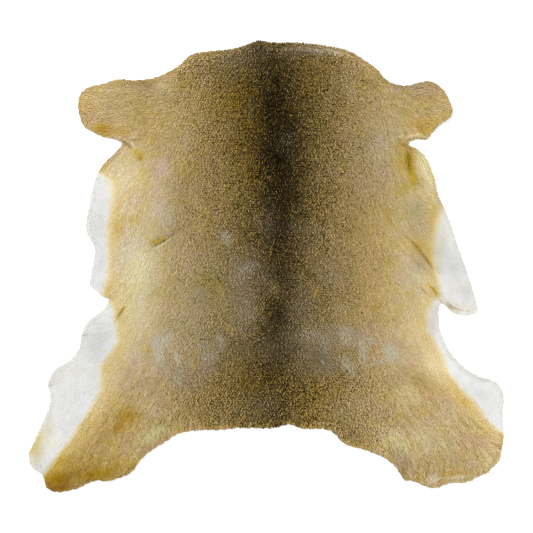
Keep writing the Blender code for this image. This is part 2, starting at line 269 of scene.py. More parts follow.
# Patches of another shade, by tint, from the neck to the rump: x, y, reach along, reach across, turn,
# strength. "long" and "short" change how far the hair reaches past the rim, and "smooth" how plain it is.
PATCHES = {
    "amber": (
        (-87, 431, 35, 40, 0, 40), (395, 350, 18, 20, 0, 40), (-413, 348, 25, 11, -12, 100),
        (-410, 345, 25, 13, 20, 100), (-408, 343, 20, 13, -15, 35), (-42, 320, 30, 86, 0, 50),
        (362, 275, 15, 33, 0, 100), (362, 270, 13, 35, 0, 100), (360, 260, 10, 35, 0, 100),
        (362, 254, 23, 51, 8, 55), (370, 224, 13, 20, 0, 90), (-365, -397, 38, 20, 60, 40),
        (-519, -496, 23, 28, 0, 74), (-481, -513, 86, 45, 10, 60), (-431, -524, 76, 20, 10, 100),
        (-527, -534, 61, 30, 12, 100), (-532, -539, 35, 23, 0, 100), (-522, -556, 40, 13, 8, 90),
    ),
    "umber": (
        (-27, 553, 25, 20, 0, 40), (85, 497, 35, 20, 0, 15), (90, 482, 20, 18, 0, 12),
        (-317, 462, 28, 10, -4, 60), (398, 356, 23, 13, 10, 25), (403, 353, 23, 14, 30, 40),
        (-416, 345, 20, 10, 20, 40), (-410, 345, 20, 9, -12, 60), (398, 345, 13, 13, 0, 42),
        (362, 280, 10, 20, 0, 40), (362, 275, 10, 25, 0, 25), (-378, 95, 18, 9, 70, 35),
        (34, 88, 76, 20, 90, 35), (398, -301, 25, 15, -50, 35), (-347, -380, 20, 15, 20, 55),
        (-368, -402, 30, 15, 60, 50), (-373, -410, 15, 11, 20, 50), (-504, -493, 30, 20, 30, 40),
        (350, -508, 13, 30, -20, 40), (-431, -529, 35, 13, 10, 52), (-436, -534, 76, 13, 10, 45),
        (-527, -539, 61, 25, 10, 75), (-522, -556, 43, 13, 8, 80), (-527, -559, 43, 10, 8, 100),
    ),
    "gold": (
        (110, 446, 30, 66, 0, 70), (-42, 431, 30, 76, 0, 90), (-62, 421, 45, 66, 0, 90),
        (418, 421, 40, 40, 0, 35), (-456, 401, 30, 45, 0, 45), (-370, 401, 35, 25, 0, 12),
        (-168, 396, 66, 86, 0, 35), (-102, 396, 35, 56, 0, 60), (-42, 396, 40, 101, 0, 70),
        (34, 381, 45, 76, 0, 60), (451, 373, 30, 13, 40, 60), (398, 358, 38, 20, 10, 70),
        (398, 350, 35, 18, 15, 70), (-294, 345, 76, 51, 0, 35), (-375, 335, 33, 11, -5, 90),
        (-90, 320, 61, 61, 0, 40), (342, 305, 20, 15, 0, 80), (-11, 270, 40, 101, 0, 50),
        (342, 270, 33, 25, 60, 60), (-203, 260, 61, 45, 0, 45), (100, 249, 40, 51, 0, 30),
        (-37, 224, 25, 40, 0, 70), (413, 126, 35, 13, 85, 70), (-337, 121, 20, 13, 0, 70),
        (-378, 95, 30, 14, 84, 100), (47, 93, 40, 25, 0, 25), (266, 78, 61, 101, 0, 35),
        (-274, 65, 20, 10, 28, 80), (388, 52, 30, 18, -56, 80), (266, -59, 71, 76, 0, 35),
        (-378, -61, 38, 13, 75, 50), (421, -61, 20, 11, -40, 50), (-385, -129, 66, 10, 88, 60),
        (211, -215, 30, 13, 0, 50), (266, -215, 15, 20, 0, 60), (115, -236, 30, 15, 10, 70),
        (-413, -261, 23, 13, 0, 70), (-11, -296, 76, 30, 0, 60), (400, -301, 30, 18, -50, 50),
        (408, -311, 30, 18, 40, 30), (97, -324, 61, 35, 0, 20), (130, -332, 61, 51, 0, 50),
        (496, -344, 30, 15, -38, 90), (115, -357, 40, 40, 0, 60), (-171, -362, 56, 30, 0, 30),
        (388, -364, 25, 15, 0, 40), (-347, -377, 25, 20, 20, 100), (-426, -407, 76, 56, 50, 35),
        (-373, -410, 20, 15, 20, 100), (539, -508, 30, 13, 40, 40), (479, -518, 45, 10, 0, 90),
    ),
    "shade": (
        (297, 482, 25, 20, -30, 40), (274, 462, 35, 15, -30, 40), (-299, 457, 35, 23, 0, 30),
        (337, 457, 35, 15, 0, 30), (-325, 441, 66, 23, 0, 32), (388, 436, 86, 25, 4, 50),
        (-350, 401, 86, 40, 0, 22), (368, 401, 101, 45, 0, 22), (-193, 156, 51, 111, 0, 18),
        (317, 156, 76, 111, 0, 16), (423, 131, 30, 56, 0, 30), (-446, 98, 20, 30, 0, 12),
        (398, 88, 126, 33, 86, 50), (416, 32, 18, 51, -30, 35), (388, 12, 66, 30, 84, 30),
        (423, -99, 40, 18, 86, 35), (24, -129, 40, 20, -70, 35), (398, -140, 25, 66, 20, 30),
        (378, -286, 35, 25, 0, 30), (216, -428, 33, 15, -30, 60), (-582, -458, 30, 18, 62, 16),
        (-461, -524, 101, 30, 10, 45),
    ),
    "rose": (
        (87, 487, 25, 20, 0, 70), (90, 482, 20, 18, 0, 60), (-428, 378, 23, 15, 0, 90),
        (191, 330, 40, 61, 0, 50), (-277, 232, 40, 25, 40, 70), (-234, 191, 25, 18, 0, 70),
        (433, 153, 15, 25, 0, 70), (24, 128, 35, 35, 0, 60), (85, 52, 61, 40, 60, 60),
        (19, -56, 18, 18, 0, 50), (416, -147, 13, 35, 0, 80), (431, -147, 8, 13, 0, 90),
        (-299, -215, 51, 35, 60, 50), (438, -256, 23, 20, 0, 40), (560, -448, 45, 40, 0, 70),
    ),
    "olive": (
        (-77, 411, 61, 51, 0, 80), (-322, 401, 20, 38, 0, 70), (-6, 371, 20, 51, 0, 80),
        (-39, 249, 51, 81, 0, 60), (355, 201, 35, 15, 14, 90), (-342, 116, 23, 15, 0, 60),
        (216, 103, 61, 76, 0, 35), (-138, -44, 40, 61, 0, 80), (-256, -54, 20, 23, 0, 60),
        (120, -64, 20, 25, 0, 80), (-112, -84, 56, 51, 0, 40), (-62, -316, 76, 56, 0, 80),
        (42, -332, 81, 51, 0, 60),
    ),
    "cream": (
        (-112, 522, 61, 23, 0, 18), (-261, 457, 23, 18, 20, 35), (403, 262, 51, 18, -68, 100),
        (-352, 227, 56, 38, 60, 40), (423, 212, 40, 15, -68, 80), (413, 199, 13, 40, -15, 35),
        (-317, -3, 76, 43, 80, 75), (390, -21, 33, 18, -56, 40), (21, -54, 20, 15, -60, 20),
        (-153, -94, 101, 40, 0, 15), (-320, -114, 61, 35, 90, 45), (-57, -129, 51, 30, 60, 25),
        (130, -175, 56, 35, 0, 25), (423, -248, 35, 20, -50, 50), (355, -326, 30, 25, 0, 35),
        (-289, -425, 45, 15, 30, 50), (327, -438, 56, 30, -30, 50), (403, -438, 56, 40, 0, 35),
        (-582, -443, 40, 20, 60, 50), (-542, -453, 25, 15, 50, 30), (565, -493, 25, 40, 0, 40),
    ),
    "heather": (
        (-11, 548, 61, 25, 0, 60), (-80, 542, 25, 13, 10, 35), (148, 540, 71, 13, -6, 50),
        (368, 452, 51, 13, 4, 90), (59, 320, 15, 25, 0, 90), (59, 315, 25, 35, 0, 80),
        (75, 315, 30, 35, 0, 50), (277, 305, 66, 56, 0, 75), (64, 295, 20, 66, 0, 80),
        (-256, 244, 25, 35, 0, 60), (277, 244, 23, 35, 0, 60), (216, 229, 76, 61, 0, 45),
        (14, 204, 61, 25, 0, 50), (-259, 131, 40, 101, 0, 45), (34, 78, 66, 61, 0, 50),
        (-11, 37, 25, 25, 0, 80), (-350, 12, 61, 111, 0, 70), (160, 12, 61, 56, 0, 35),
        (-320, -3, 76, 50, 80, 80), (-203, -13, 66, 76, 0, 45), (-77, -13, 101, 51, 0, 85),
        (47, -21, 23, 23, 0, 100), (47, -23, 20, 25, 0, 80), (160, -33, 25, 25, 0, 80),
        (198, -39, 35, 25, 0, 30), (-67, -44, 35, 23, 0, 90), (362, -44, 51, 56, 0, 45),
        (-314, -46, 35, 66, 0, 60), (325, -64, 45, 45, 0, 35), (-42, -84, 45, 101, 0, 50),
        (14, -129, 40, 30, 0, 60), (24, -129, 30, 45, 0, 80), (347, -129, 30, 25, 0, 20),
        (-27, -135, 91, 76, 0, 55), (-178, -160, 86, 101, 0, 60), (150, -198, 66, 56, 0, 50),
        (-105, -200, 23, 23, 0, 75), (160, -200, 45, 35, 0, 75), (211, -215, 111, 66, 0, 60),
        (-107, -225, 45, 35, 0, 50), (-178, -251, 66, 76, 0, 60), (-269, -256, 101, 66, 0, 70),
        (34, -367, 51, 25, 0, 50), (388, -412, 126, 66, -20, 45), (464, -438, 66, 40, 30, 35),
        (-471, -476, 35, 30, 0, 25),
    ),
    "sage": (
        (160, 548, 30, 10, 10, 80), (327, 320, 30, 40, 0, 60), (251, 295, 61, 35, 0, 50),
        (312, 295, 66, 61, 0, 40), (342, 169, 81, 177, 0, 26), (-249, 90, 40, 61, 0, 60),
        (-294, 42, 101, 152, 0, 30), (362, -49, 66, 61, 0, 40), (-155, -64, 71, 139, 0, 28),
        (398, -84, 56, 101, 0, 34), (-294, -129, 76, 139, 0, 34), (-218, -160, 152, 76, 0, 40),
        (-370, -236, 66, 76, 0, 30), (-289, -425, 45, 15, 30, 80),
    ),
    "mauve": (
        (97, 548, 40, 13, 8, 50), (85, 542, 56, 15, 4, 50), (-97, 527, 30, 18, 0, 40),
        (-72, 522, 51, 20, 10, 35), (-97, 482, 40, 25, 0, 30), (-11, 113, 40, 51, 0, 35),
        (-97, 68, 51, 35, 60, 25), (393, 2, 25, 20, -56, 50), (-49, -8, 40, 35, 0, 90),
        (145, -8, 40, 40, 0, 50), (-1, -33, 30, 45, 0, 50), (171, -33, 35, 30, 0, 60),
        (-165, -69, 23, 30, 0, 60), (-64, -74, 40, 106, 0, 90), (115, -84, 28, 56, 0, 70),
        (85, -104, 35, 76, 0, 70), (-173, -135, 35, 51, 0, 30), (-143, -175, 30, 35, 0, 30),
        (186, -175, 66, 25, -10, 60), (216, -175, 45, 25, 0, 60), (80, -185, 66, 35, -20, 60),
        (135, -185, 66, 45, 10, 90), (-112, -195, 35, 40, 0, 50), (9, -210, 76, 35, 0, 50),
        (-37, -215, 66, 25, 0, 45), (130, -225, 66, 43, 15, 95), (85, -241, 61, 35, 0, 40),
        (-153, -251, 56, 56, 0, 60), (150, -256, 45, 25, 10, 90), (-206, -261, 66, 35, 10, 35),
        (-208, -276, 51, 45, 0, 40), (-294, -316, 30, 25, 0, 25), (-11, -347, 56, 35, 0, 40),
        (471, -483, 40, 18, -10, 30), (345, -486, 40, 20, -58, 65),
    ),
    "blond": (
        (-476, -261, 51, 9, 14, 40), (-400, -332, 66, 30, 60, 50), (-570, -443, 38, 15, 58, 90),
    ),
    "pale": (
        (168, 548, 25, 10, 10, 30), (148, 542, 66, 13, -6, 42), (165, 542, 35, 15, -10, 35),
        (198, 492, 30, 40, -30, 14), (206, 459, 18, 20, 0, 30), (-201, 396, 20, 25, 0, 10),
        (-42, 396, 15, 25, 0, 8), (148, 396, 20, 25, 0, 10), (-201, 361, 20, 40, 0, 12),
        (-400, 345, 30, 15, 20, 10), (-390, 320, 20, 10, 0, 20), (-201, 320, 20, 25, 0, 31),
        (39, 320, 13, 30, 0, 12), (59, 318, 13, 23, 0, 14), (-345, 313, 23, 15, 0, 30),
        (-224, 295, 25, 45, 0, 22), (279, 290, 20, 56, 0, 20), (-256, 244, 23, 25, 0, 42),
        (135, 244, 20, 40, 0, 12), (-269, 156, 25, 71, 10, 30), (-269, 138, 33, 35, 0, 41),
        (87, 93, 66, 25, 0, 12), (100, 52, 23, 40, 0, 8), (-11, 42, 18, 20, 0, 10),
        (-178, 17, 40, 30, 0, 16), (-67, -3, 30, 30, 0, 25), (-294, -59, 20, 20, 0, 12),
        (186, -104, 20, 25, 0, 20), (186, -109, 20, 20, 0, 34), (115, -170, 23, 18, 0, 30),
        (211, -180, 35, 20, 0, 35), (-393, -281, 20, 35, 30, 30), (423, -289, 30, 15, 0, 25),
        (-421, -342, 23, 20, 30, 30), (-297, -362, 23, 25, 0, 28), (-82, -362, 35, 20, 0, 10),
        (206, -362, 51, 20, 0, 16), (471, -364, 25, 23, 0, 30), (514, -501, 20, 30, 0, 22),
        (489, -534, 30, 9, 4, 60), (421, -539, 23, 13, 40, 70),
    ),
    "grey": (
        (-19, 550, 33, 30, 0, 70), (92, 548, 45, 13, 0, 60), (-57, 520, 40, 25, 0, 40),
        (47, -21, 23, 23, 0, 28),
    ),
    "dusk": (
        (39, -21, 20, 35, 0, 50), (21, -135, 25, 61, 0, 60),
    ),
    "dim": (
        (160, 542, 25, 10, 10, 10), (375, 462, 76, 15, 0, 12), (-345, 459, 18, 15, 0, 20),
        (-297, 459, 30, 15, 0, 25), (279, 459, 15, 18, 0, 12), (375, 131, 15, 56, 0, 20),
        (375, 131, 25, 40, 0, 40), (416, 105, 10, 76, -8, 20), (-431, 93, 15, 76, 0, 10),
        (-201, 93, 20, 20, 0, 12), (375, 93, 20, 20, 0, 30), (231, 88, 20, 20, 0, 29),
        (375, 68, 18, 51, 0, 12), (441, 42, 15, 61, -10, 25), (-426, 17, 15, 30, 0, 10),
        (-57, 17, 20, 20, 0, 40), (183, 17, 20, 20, 0, 32), (198, 17, 30, 20, 0, 18),
        (-67, 12, 20, 25, 0, 20), (-57, 12, 20, 20, 0, 58), (469, 12, 61, 33, -64, 45),
        (-37, -13, 15, 15, 0, 20), (418, -21, 10, 35, 0, 20), (423, -46, 15, 45, 0, 12),
        (433, -64, 13, 20, 0, 10), (504, -64, 35, 20, -64, 40), (-224, -84, 23, 23, 0, 21),
        (-193, -84, 45, 23, 0, 17), (-168, -84, 35, 23, 0, 27), (458, -87, 18, 8, -40, 21),
        (479, -99, 15, 8, -30, 15), (-335, -135, 40, 35, 0, 12), (-249, -135, 23, 23, 0, 27),
        (327, -135, 20, 20, 0, 19), (-282, -140, 30, 18, 0, 13), (279, -140, 18, 20, 0, 20),
        (302, -140, 35, 20, 0, 12), (-446, -147, 20, 15, 0, 12), (423, -147, 15, 40, 0, 30),
        (59, -162, 20, 20, 0, 30), (211, -172, 20, 18, 0, 15), (-431, -198, 40, 40, 0, 30),
        (-105, -198, 23, 20, 0, 20), (-320, -205, 30, 35, 0, 16), (-29, -205, 35, 20, 0, 67),
        (-57, -210, 23, 20, 0, 70), (-57, -210, 25, 25, 0, 55), (-9, -210, 20, 20, 0, 65),
        (87, -210, 20, 35, 0, 23), (375, -210, 20, 20, 0, 20), (14, -223, 76, 56, 0, 42),
        (135, -236, 23, 23, 0, 75), (135, -236, 25, 25, 0, 62), (350, -241, 30, 56, 0, 21),
        (-345, -248, 20, 35, 0, 10), (337, -256, 40, 35, 0, 12), (327, -273, 35, 18, 0, 14),
        (-532, -276, 40, 15, 30, 20), (-345, -286, 18, 20, 0, 15), (-201, -286, 20, 20, 0, 16),
        (87, -286, 23, 23, 0, 50), (327, -286, 20, 25, 0, 45), (375, -286, 20, 20, 0, 19),
        (-201, -324, 23, 35, 0, 13), (539, -326, 45, 30, -40, 20), (-370, -362, 15, 15, 0, 14),
        (-201, -362, 20, 20, 0, 16), (-395, -438, 25, 25, 0, 12), (231, -438, 23, 18, 0, 15),
        (327, -438, 20, 20, 0, 10), (421, -438, 40, 30, 0, 14), (423, -438, 20, 20, 0, 36),
        (-476, -440, 15, 15, 0, 10), (183, -440, 20, 15, 0, 15), (-577, -450, 20, 25, 0, 12),
        (423, -476, 20, 56, 0, 17), (-582, -503, 10, 10, 0, 20), (423, -513, 20, 18, 0, 31),
        (567, -513, 20, 20, 0, 27), (-484, -551, 30, 51, 0, 8),
    ),
    "ink": (
        (-21, 560, 23, 13, 0, 50), (-4, 512, 30, 8, 15, 60), (27, 472, 25, 13, 95, 90),
        (14, 414, 23, 20, 0, 60), (44, 391, 20, 15, 0, 30), (11, 340, 18, 23, 0, 25),
        (1, 297, 13, 10, 0, 70), (32, 275, 23, 9, -45, 90), (47, 244, 25, 15, 90, 35),
        (62, 189, 20, 15, 0, 60), (-9, 184, 10, 10, 0, 40), (-11, 181, 15, 10, 0, 80),
        (69, 181, 13, 15, 0, 20), (24, 156, 15, 15, 0, 40), (42, 90, 25, 13, 90, 50),
        (-6, 68, 20, 20, 0, 30), (64, 57, 15, 30, 0, 25), (24, -114, 15, 20, 0, 25),
    ),
    "straw": (
        (21, -54, 18, 13, -60, 50),
    ),
    "smooth": (
        (413, 409, 76, 66, 0, 100), (-421, 396, 76, 66, 0, 80), (413, -362, 126, 126, 40, 80),
        (-433, -438, 126, 88, 50, 100),
    ),
    "honey": (
        (421, 42, 10, 56, -12, 30), (438, 42, 15, 71, -12, 40), (471, -59, 20, 20, 0, 22),
        (458, -87, 18, 8, -40, 27), (479, -99, 15, 8, -30, 35), (504, -107, 23, 10, -20, 40),
        (423, -147, 10, 25, 0, 25), (-484, -266, 40, 13, 12, 18), (-527, -286, 30, 13, 12, 12),
        (-433, -311, 15, 15, 0, 10), (-554, -412, 25, 15, 60, 50), (-577, -443, 30, 15, 62, 100),
        (-585, -455, 40, 23, 62, 100), (-582, -463, 20, 30, 0, 100), (-522, -551, 25, 18, 0, 100),
    ),
    "frost": (
        (251, -198, 10, 20, 0, 30),
    ),
    "long": (
        (14, 565, 76, 15, 0, 45), (224, 532, 51, 15, -27, 45), (299, 484, 45, 15, -35, 55),
        (469, -109, 35, 15, 25, 100), (-557, -377, 35, 15, 80, 60), (47, -402, 35, 15, 0, 50),
        (-155, -410, 66, 20, 2, 170), (120, -410, 51, 15, 0, 70), (266, -478, 66, 20, -27, 140),
        (577, -488, 40, 20, -60, 120), (509, -539, 51, 15, -10, 100), (368, -544, 30, 15, 0, 50),
        (-554, -551, 23, 15, 90, 60),
    ),
    "short": (
        (-471, 386, 25, 15, 90, 40), (-385, 318, 25, 15, -20, 110), (370, 305, 20, 13, -50, 40),
        (-451, 138, 30, 13, 90, 35), (458, 123, 35, 15, -62, 30), (-443, -23, 20, 13, 90, 40),
        (-433, -61, 15, 13, -20, 100), (-441, -132, 18, 13, 40, 35), (560, -286, 20, 13, -40, 30),
        (-549, -321, 18, 10, 80, 30), (-229, -428, 23, 15, 25, 30), (-368, -534, 30, 15, 0, 80),
    ),
}

# Tufts where the hair lies another way and shows another shade, by tint: x, y, reach along, reach
# across, heading, strength.
TUFTS = {
    "frost": (
        (-277, -192, 23, 16.9, -95, 100), (-269, -224, 27.6, 10.4, -86, 100),
        (-251, -184, 23, 10.4, -88, 96), (-226, -231, 23, 9.1, -74, 96), (-115, -192, 27.6, 10.4, -80, 72),
        (-216, -261, 11.5, 7.8, -90, 60), (-196, -246, 14.9, 7.8, 0, 48),
        (-135, -228, 17.2, 15.6, -70, 60), (-160, -198, 36.8, 18.2, -20, 42),
        (243, -214, 34.5, 11.7, -82, 96), (264, -190, 13.8, 11.7, -90, 72),
        (316, -220, 29.9, 19.5, -50, 100), (330, -172, 20.7, 10.4, -40, 48),
        (211, -256, 27.6, 11.7, -70, 84), (198, -175, 29.9, 14.3, -65, 72), (276, -246, 29.9, 5.2, 20, 84),
        (141, -241, 11.5, 3.4, -50, 100), (-102, 73, 25.3, 14.3, -70, 84), (-56, -8, 24, 4.5, -115, 55),
        (-36, -1, 19, 3.5, -110, 50), (-65, -14, 19, 3.5, -116, 45), (-49, -31, 11, 2.6, 18, 45),
        (87, -41, 14, 5, -90, 40), (-133, 8, 27.6, 20.8, -90, 30), (-284, -195, 18, 13, -85, 100),
        (-272, -228, 20, 13, -75, 100), (-249, -183, 15, 9, -90, 80), (-224, -286, 23, 13, -60, 50),
        (-153, -230, 23, 13, -80, 60), (-123, -185, 15, 8, -100, 60), (-171, -71, 18, 9, -60, 30),
        (100, -170, 18, 10, -30, 50), (145, -198, 30, 15, -80, 40), (201, -165, 23, 15, -60, 70),
        (201, -246, 23, 15, -70, 80), (240, -218, 30, 7, -85, 90), (261, -186, 18, 7, 0, 80),
        (284, -241, 20, 5, -10, 80), (314, -218, 28, 15, -30, 100),
    ),
    "mauve": (
        (-148, -246, 22, 18, -80, 70), (-249, -243, 13, 11, -90, 60), (-195, -299, 28, 13, -40, 70),
        (334, -196, 28, 14, -20, 30), (160, -261, 28, 24, -60, 60), (110, -185, 38, 30, -70, 55),
        (150, -200, 52, 36, -60, 50), (-52, -48, 34, 22, -80, 75), (150, -52, 22, 16, -90, 40),
        (97, -104, 24, 14, -90, 40), (-77, -28, 25, 20, -70, 70), (-52, -3, 23, 13, -110, 60),
        (-67, -54, 33, 15, -5, 80), (-42, -119, 30, 23, -80, 80), (165, -36, 23, 20, -60, 60),
        (-218, -266, 40, 20, -70, 60), (153, -256, 30, 20, -60, 80),
    ),
    "straw": (
        (-178, -220, 12, 10, -90, 90), (-183, -256, 9, 8, -90, 80), (-92, -160, 16, 11, -60, 90),
        (125, -66, 14, 13, -90, 90), (-115, -59, 22, 16, -90, 60),
    ),
    "dusk": (
        (44, 4, 26, 13, -66, 50), (54, -42, 28, 14, -80, 60), (24, -124, 32, 15, -90, 70),
        (309, -213, 6, 3, -40, 60),
    ),
}

# ---------------------------------------------------------------- colours
# As a picture shows them, from 0 to 255.

COAT_GAIN = 1.75  # the coat shades itself, so its hair is paler than the coat looks
SIDE_PALENESS = 0.80
FLANK_PALENESS = 0.12  # more, where the flanks reach the belly
LEG_DARKENING = 0.07
BROWNS = (  # how pale, colour
    (0.00, (34, 27, 10)),
    (0.12, (62, 50, 25)),
    (0.25, (94, 79, 45)),
    (0.40, (128, 108, 63)),
    (0.55, (145, 124, 78)),
    (0.70, (155, 135, 95)),
    (0.82, (165, 146, 110)),
    (0.93, (179, 163, 134)),
    (1.00, (194, 183, 157)),
)
YELLOW_CAST = (1.00, 0.98, 0.55, 1.0)
ROSE_CAST = (1.00, 0.95, 1.08, 1.0)
SAGE_CAST = (0.92, 1.00, 0.88, 1.0)
CASTS = (  # on brown hair: tint, what it multiplies the coat by, strength
    ("gold", (1.00, 0.89, 0.36, 1.0), 0.80),
    ("amber", (0.97, 0.83, 0.08, 1.0), 1.00),
    ("olive", (0.86, 0.86, 0.48, 1.0), 0.80),
    ("sage", (0.88, 1.00, 0.92, 1.0), 1.00),
    ("heather", (0.96, 0.99, 1.34, 1.0), 1.00),
)
SHADES = (  # on brown and white hair
    # umber and ink are dark brown and near-black hair, and painted shade where their lines lie in creases,
    # folds and under turned rims
    ("umber", (0.52, 0.42, 0.26, 1.0), 0.85),
    ("rose", (1.02, 0.96, 1.12, 1.0), 0.80),
    ("shade", (0.62, 0.60, 0.56, 1.0), 1.00),
    ("dim", (0.60, 0.60, 0.59, 1.0), 1.00),
    ("ink", (0.36, 0.38, 0.32, 1.0), 1.00),
    ("honey", (0.86, 0.74, 0.40, 1.0), 1.00),
)
WASHES = (  # tint, colour, strength
    ("cream", (206, 192, 158), 0.75),
    ("grey", (108, 98, 88), 0.70),
    ("pale", (178, 172, 156), 0.80),
)
TUFT_COLOURS = (  # tint, colour, strength
    ("mauve", (127, 115, 101), 0.78),
    ("dusk", (50, 49, 38), 0.70),
    ("straw", (158, 134, 52), 0.60),
    ("frost", (152, 151, 137), 0.80),
)
COMBED = (  # tint, how far its hair covers the gaps between the locks and takes away their painted shade
    ("mauve", 0.6),
    ("frost", 0.8),
    ("straw", 0.5),
    ("pale", 0.9),
    ("cream", 0.6),
)
BLOND = (184, 166, 119)  # the coat's last band before the white
PAINTED_SHADE_SHARES = (0.92, 0.98, 1.19)  # how much of the painted shade between hairs red, green and blue take
BUTTER = (226, 221, 186)  # where the white begins
SNOW = (220, 220, 220)
SNOW_SHADE = (213, 213, 211)
SUEDES = ((0.30, (206, 186, 152)), (0.52, (224, 209, 180)), (0.72, (234, 222, 198)))
PORES = (188, 165, 128)

LIGHTS = (  # name, place, width, power
    ("key", (-1.6, 2.0, 3.2), 1.8, 108.0),
    ("fill", (1.8, -1.2, 3.4), 2.6, 68.0),
)
WORLD_STRENGTH = 0.85
FLOOR_HALF = 40.0
CAMERA_HEIGHT = 3.2
COAT_LEVEL = 0.012
FRAME_WIDTH = 1.3464  # seen across the whole frame, at the coat's level

# ---------------------------------------------------------------- the hide's shape, read from the frame


class Field:
    """A value on an even grid over the hide, read smoothly between the grid's points."""

    def __init__(self, values, pitch, low):
        self.values = values
        self.pitch = pitch
        self.low = low

    def __call__(self, x, y):
        rows, cols = self.values.shape
        u = np.clip((np.asarray(x) - self.low[0]) / self.pitch, 0, cols - 1.001)
        v = np.clip((np.asarray(y) - self.low[1]) / self.pitch, 0, rows - 1.001)
        i = u.astype(int)
        j = v.astype(int)
        u = u - i
        v = v - j
        near = self.values[j, i] * (1 - u) + self.values[j, i + 1] * u
        far = self.values[j + 1, i] * (1 - u) + self.values[j + 1, i + 1] * u
        return near * (1 - v) + far * v

    def slope(self, x, y, step):
        """Its rate of change along x and along y."""
        across = (self(x + step, y) - self(x - step, y)) / (2 * step)
        along = (self(x, y + step) - self(x, y - step)) / (2 * step)
        return across, along

    def climb(self, x, y, rise, step, least):
        """The move in x and y that raises the value by `rise`, or by less where it is nearly level."""
        sx, sy = self.slope(x, y, step)
        steep = np.maximum(sx**2 + sy**2, least)
        return rise * sx / steep, rise * sy / steep

    def blurred(self, times):
        """The same field, with each point drawn towards its neighbours a number of times."""
        values = self.values
        for _ in range(times):
            before, after, left, right = beside(np.pad(values, 1, mode="edge"))
            values = 0.25 * (before + after + left + right)
        return Field(values, self.pitch, self.low)


def beside(edged):
    """The four neighbours of each point of a grid that has one row of points too many all round."""
    return edged[:-2, 1:-1], edged[2:, 1:-1], edged[1:-1, :-2], edged[1:-1, 2:]


def smoothstep(start, end, value):
    t = np.clip((np.asarray(value, float) - start) / (end - start), 0, 1)
    return t * t * (3 - 2 * t)


def on(pair, sleek):
    """A value between the back's and the flanks'."""
    back, flank = pair
    return back + (flank - back) * sleek


def grid_over(margin, pitch):
    """The low corner of a square grid over the hide, and how many steps it takes each way."""
    low = (CAD_BOX[0][0] - margin, CAD_BOX[0][1] - margin)
    cols, rows = (int((CAD_BOX[1][axis] + margin - low[axis]) / pitch) for axis in (0, 1))
    return low, rows, cols


def hide_shell():
    """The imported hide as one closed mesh."""
    bm = bmesh.new()
    bm.from_mesh(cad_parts["hide"].data)
    bmesh.ops.remove_doubles(bm, verts=bm.verts, dist=1e-6)
    return bm


def rim_points(bm):
    """Points along the rim as seen from above, where the top faces end."""
    points = []
    for edge in bm.edges:
        tops = [face for face in edge.link_faces if face.normal.z > TOP_FACE]
        if len(tops) != 1:
            continue
        a, b = (vert.co.to_2d() for vert in edge.verts)
        count = max(1, round((b - a).length / RIM_STEP))
        points += [a.lerp(b, i / count) for i in range(count)]
    return points


def read_hide():
    """Fields of the hide's top, its underside, and the distance in from its rim (less than 0 outside)."""
    bm = hide_shell()
    tree = BVHTree.FromBMesh(bm)
    rim = rim_points(bm)
    bm.free()
    nearest = KDTree(len(rim))
    for i, point in enumerate(rim):
        nearest.insert(point.to_3d(), i)
    nearest.balance()
    low, rows, cols = grid_over(FIELD_MARGIN, FIELD_PITCH)
    top = np.full((rows + 1, cols + 1), np.nan)
    under = top.copy()
    inward = np.zeros_like(top)
    for j, i in np.ndindex(top.shape):
        x = low[0] + i * FIELD_PITCH
        y = low[1] + j * FIELD_PITCH
        distance = nearest.find((x, y, 0))[2]
        hit = tree.ray_cast((x, y, 1.0), (0, 0, -1))[0]
        inward[j, i] = distance if hit else -distance
        if hit:
            top[j, i] = hit.z
            under[j, i] = tree.ray_cast((x, y, -1.0), (0, 0, 1))[0].z
    return [Field(values, FIELD_PITCH, low) for values in (spread_out(top), spread_out(under), inward)]


def spread_out(values):
    """Fills the grid's empty points from their nearest filled neighbours, ring by ring."""
    values = values.copy()
    for _ in range(max(values.shape)):
        empty = np.isnan(values)
        if not empty.any():
            break
        rings = beside(np.pad(values, 1, constant_values=np.nan))
        known = np.sum([~np.isnan(ring) for ring in rings], axis=0)
        total = np.sum([np.nan_to_num(ring) for ring in rings], axis=0)
        fill = empty & (known > 0)
        values[fill] = total[fill] / known[fill]
    return values


def unevenness(seed, size):
    """A soft field of random values, mostly from -1 to 1, with swells about `size` across."""
    rng = np.random.default_rng(seed)
    pitch = size / 4
    low, rows, cols = grid_over(SWELL_MARGIN, pitch)
    field = Field(rng.uniform(-1, 1, (rows + 2, cols + 2)), pitch, low).blurred(4)
    field.values /= 2.2 * field.values.std()
    return field


def swells(seed, table, x, y):
    """Unevenness of a few sizes, added up."""
    sizes = enumerate(table, seed)
    return sum(height * unevenness(own_seed, size)(x, y) for own_seed, (size, height) in sizes)


# ---------------------------------------------------------------- creases, shades and the lie of the hair


def rows_of(table, tint):
    """A table's rows of one tint, or of all where tint is None."""
    if tint is None:
        return [row for rows in table.values() for row in rows]
    return table.get(tint, ())


def line_points(start_x, start_y, middle_x, middle_y, end_x, end_y):
    """Points in metres on a smooth curve through the three given points."""
    t = np.linspace(0, 1, 24)[:, None]
    start = np.array([start_x, start_y])
    middle = np.array([middle_x, middle_y])
    end = np.array([end_x, end_y])
    bow = 2 * middle - 0.5 * (start + end)
    return ((1 - t) ** 2 * start + 2 * t * (1 - t) * bow + t**2 * end) * MM


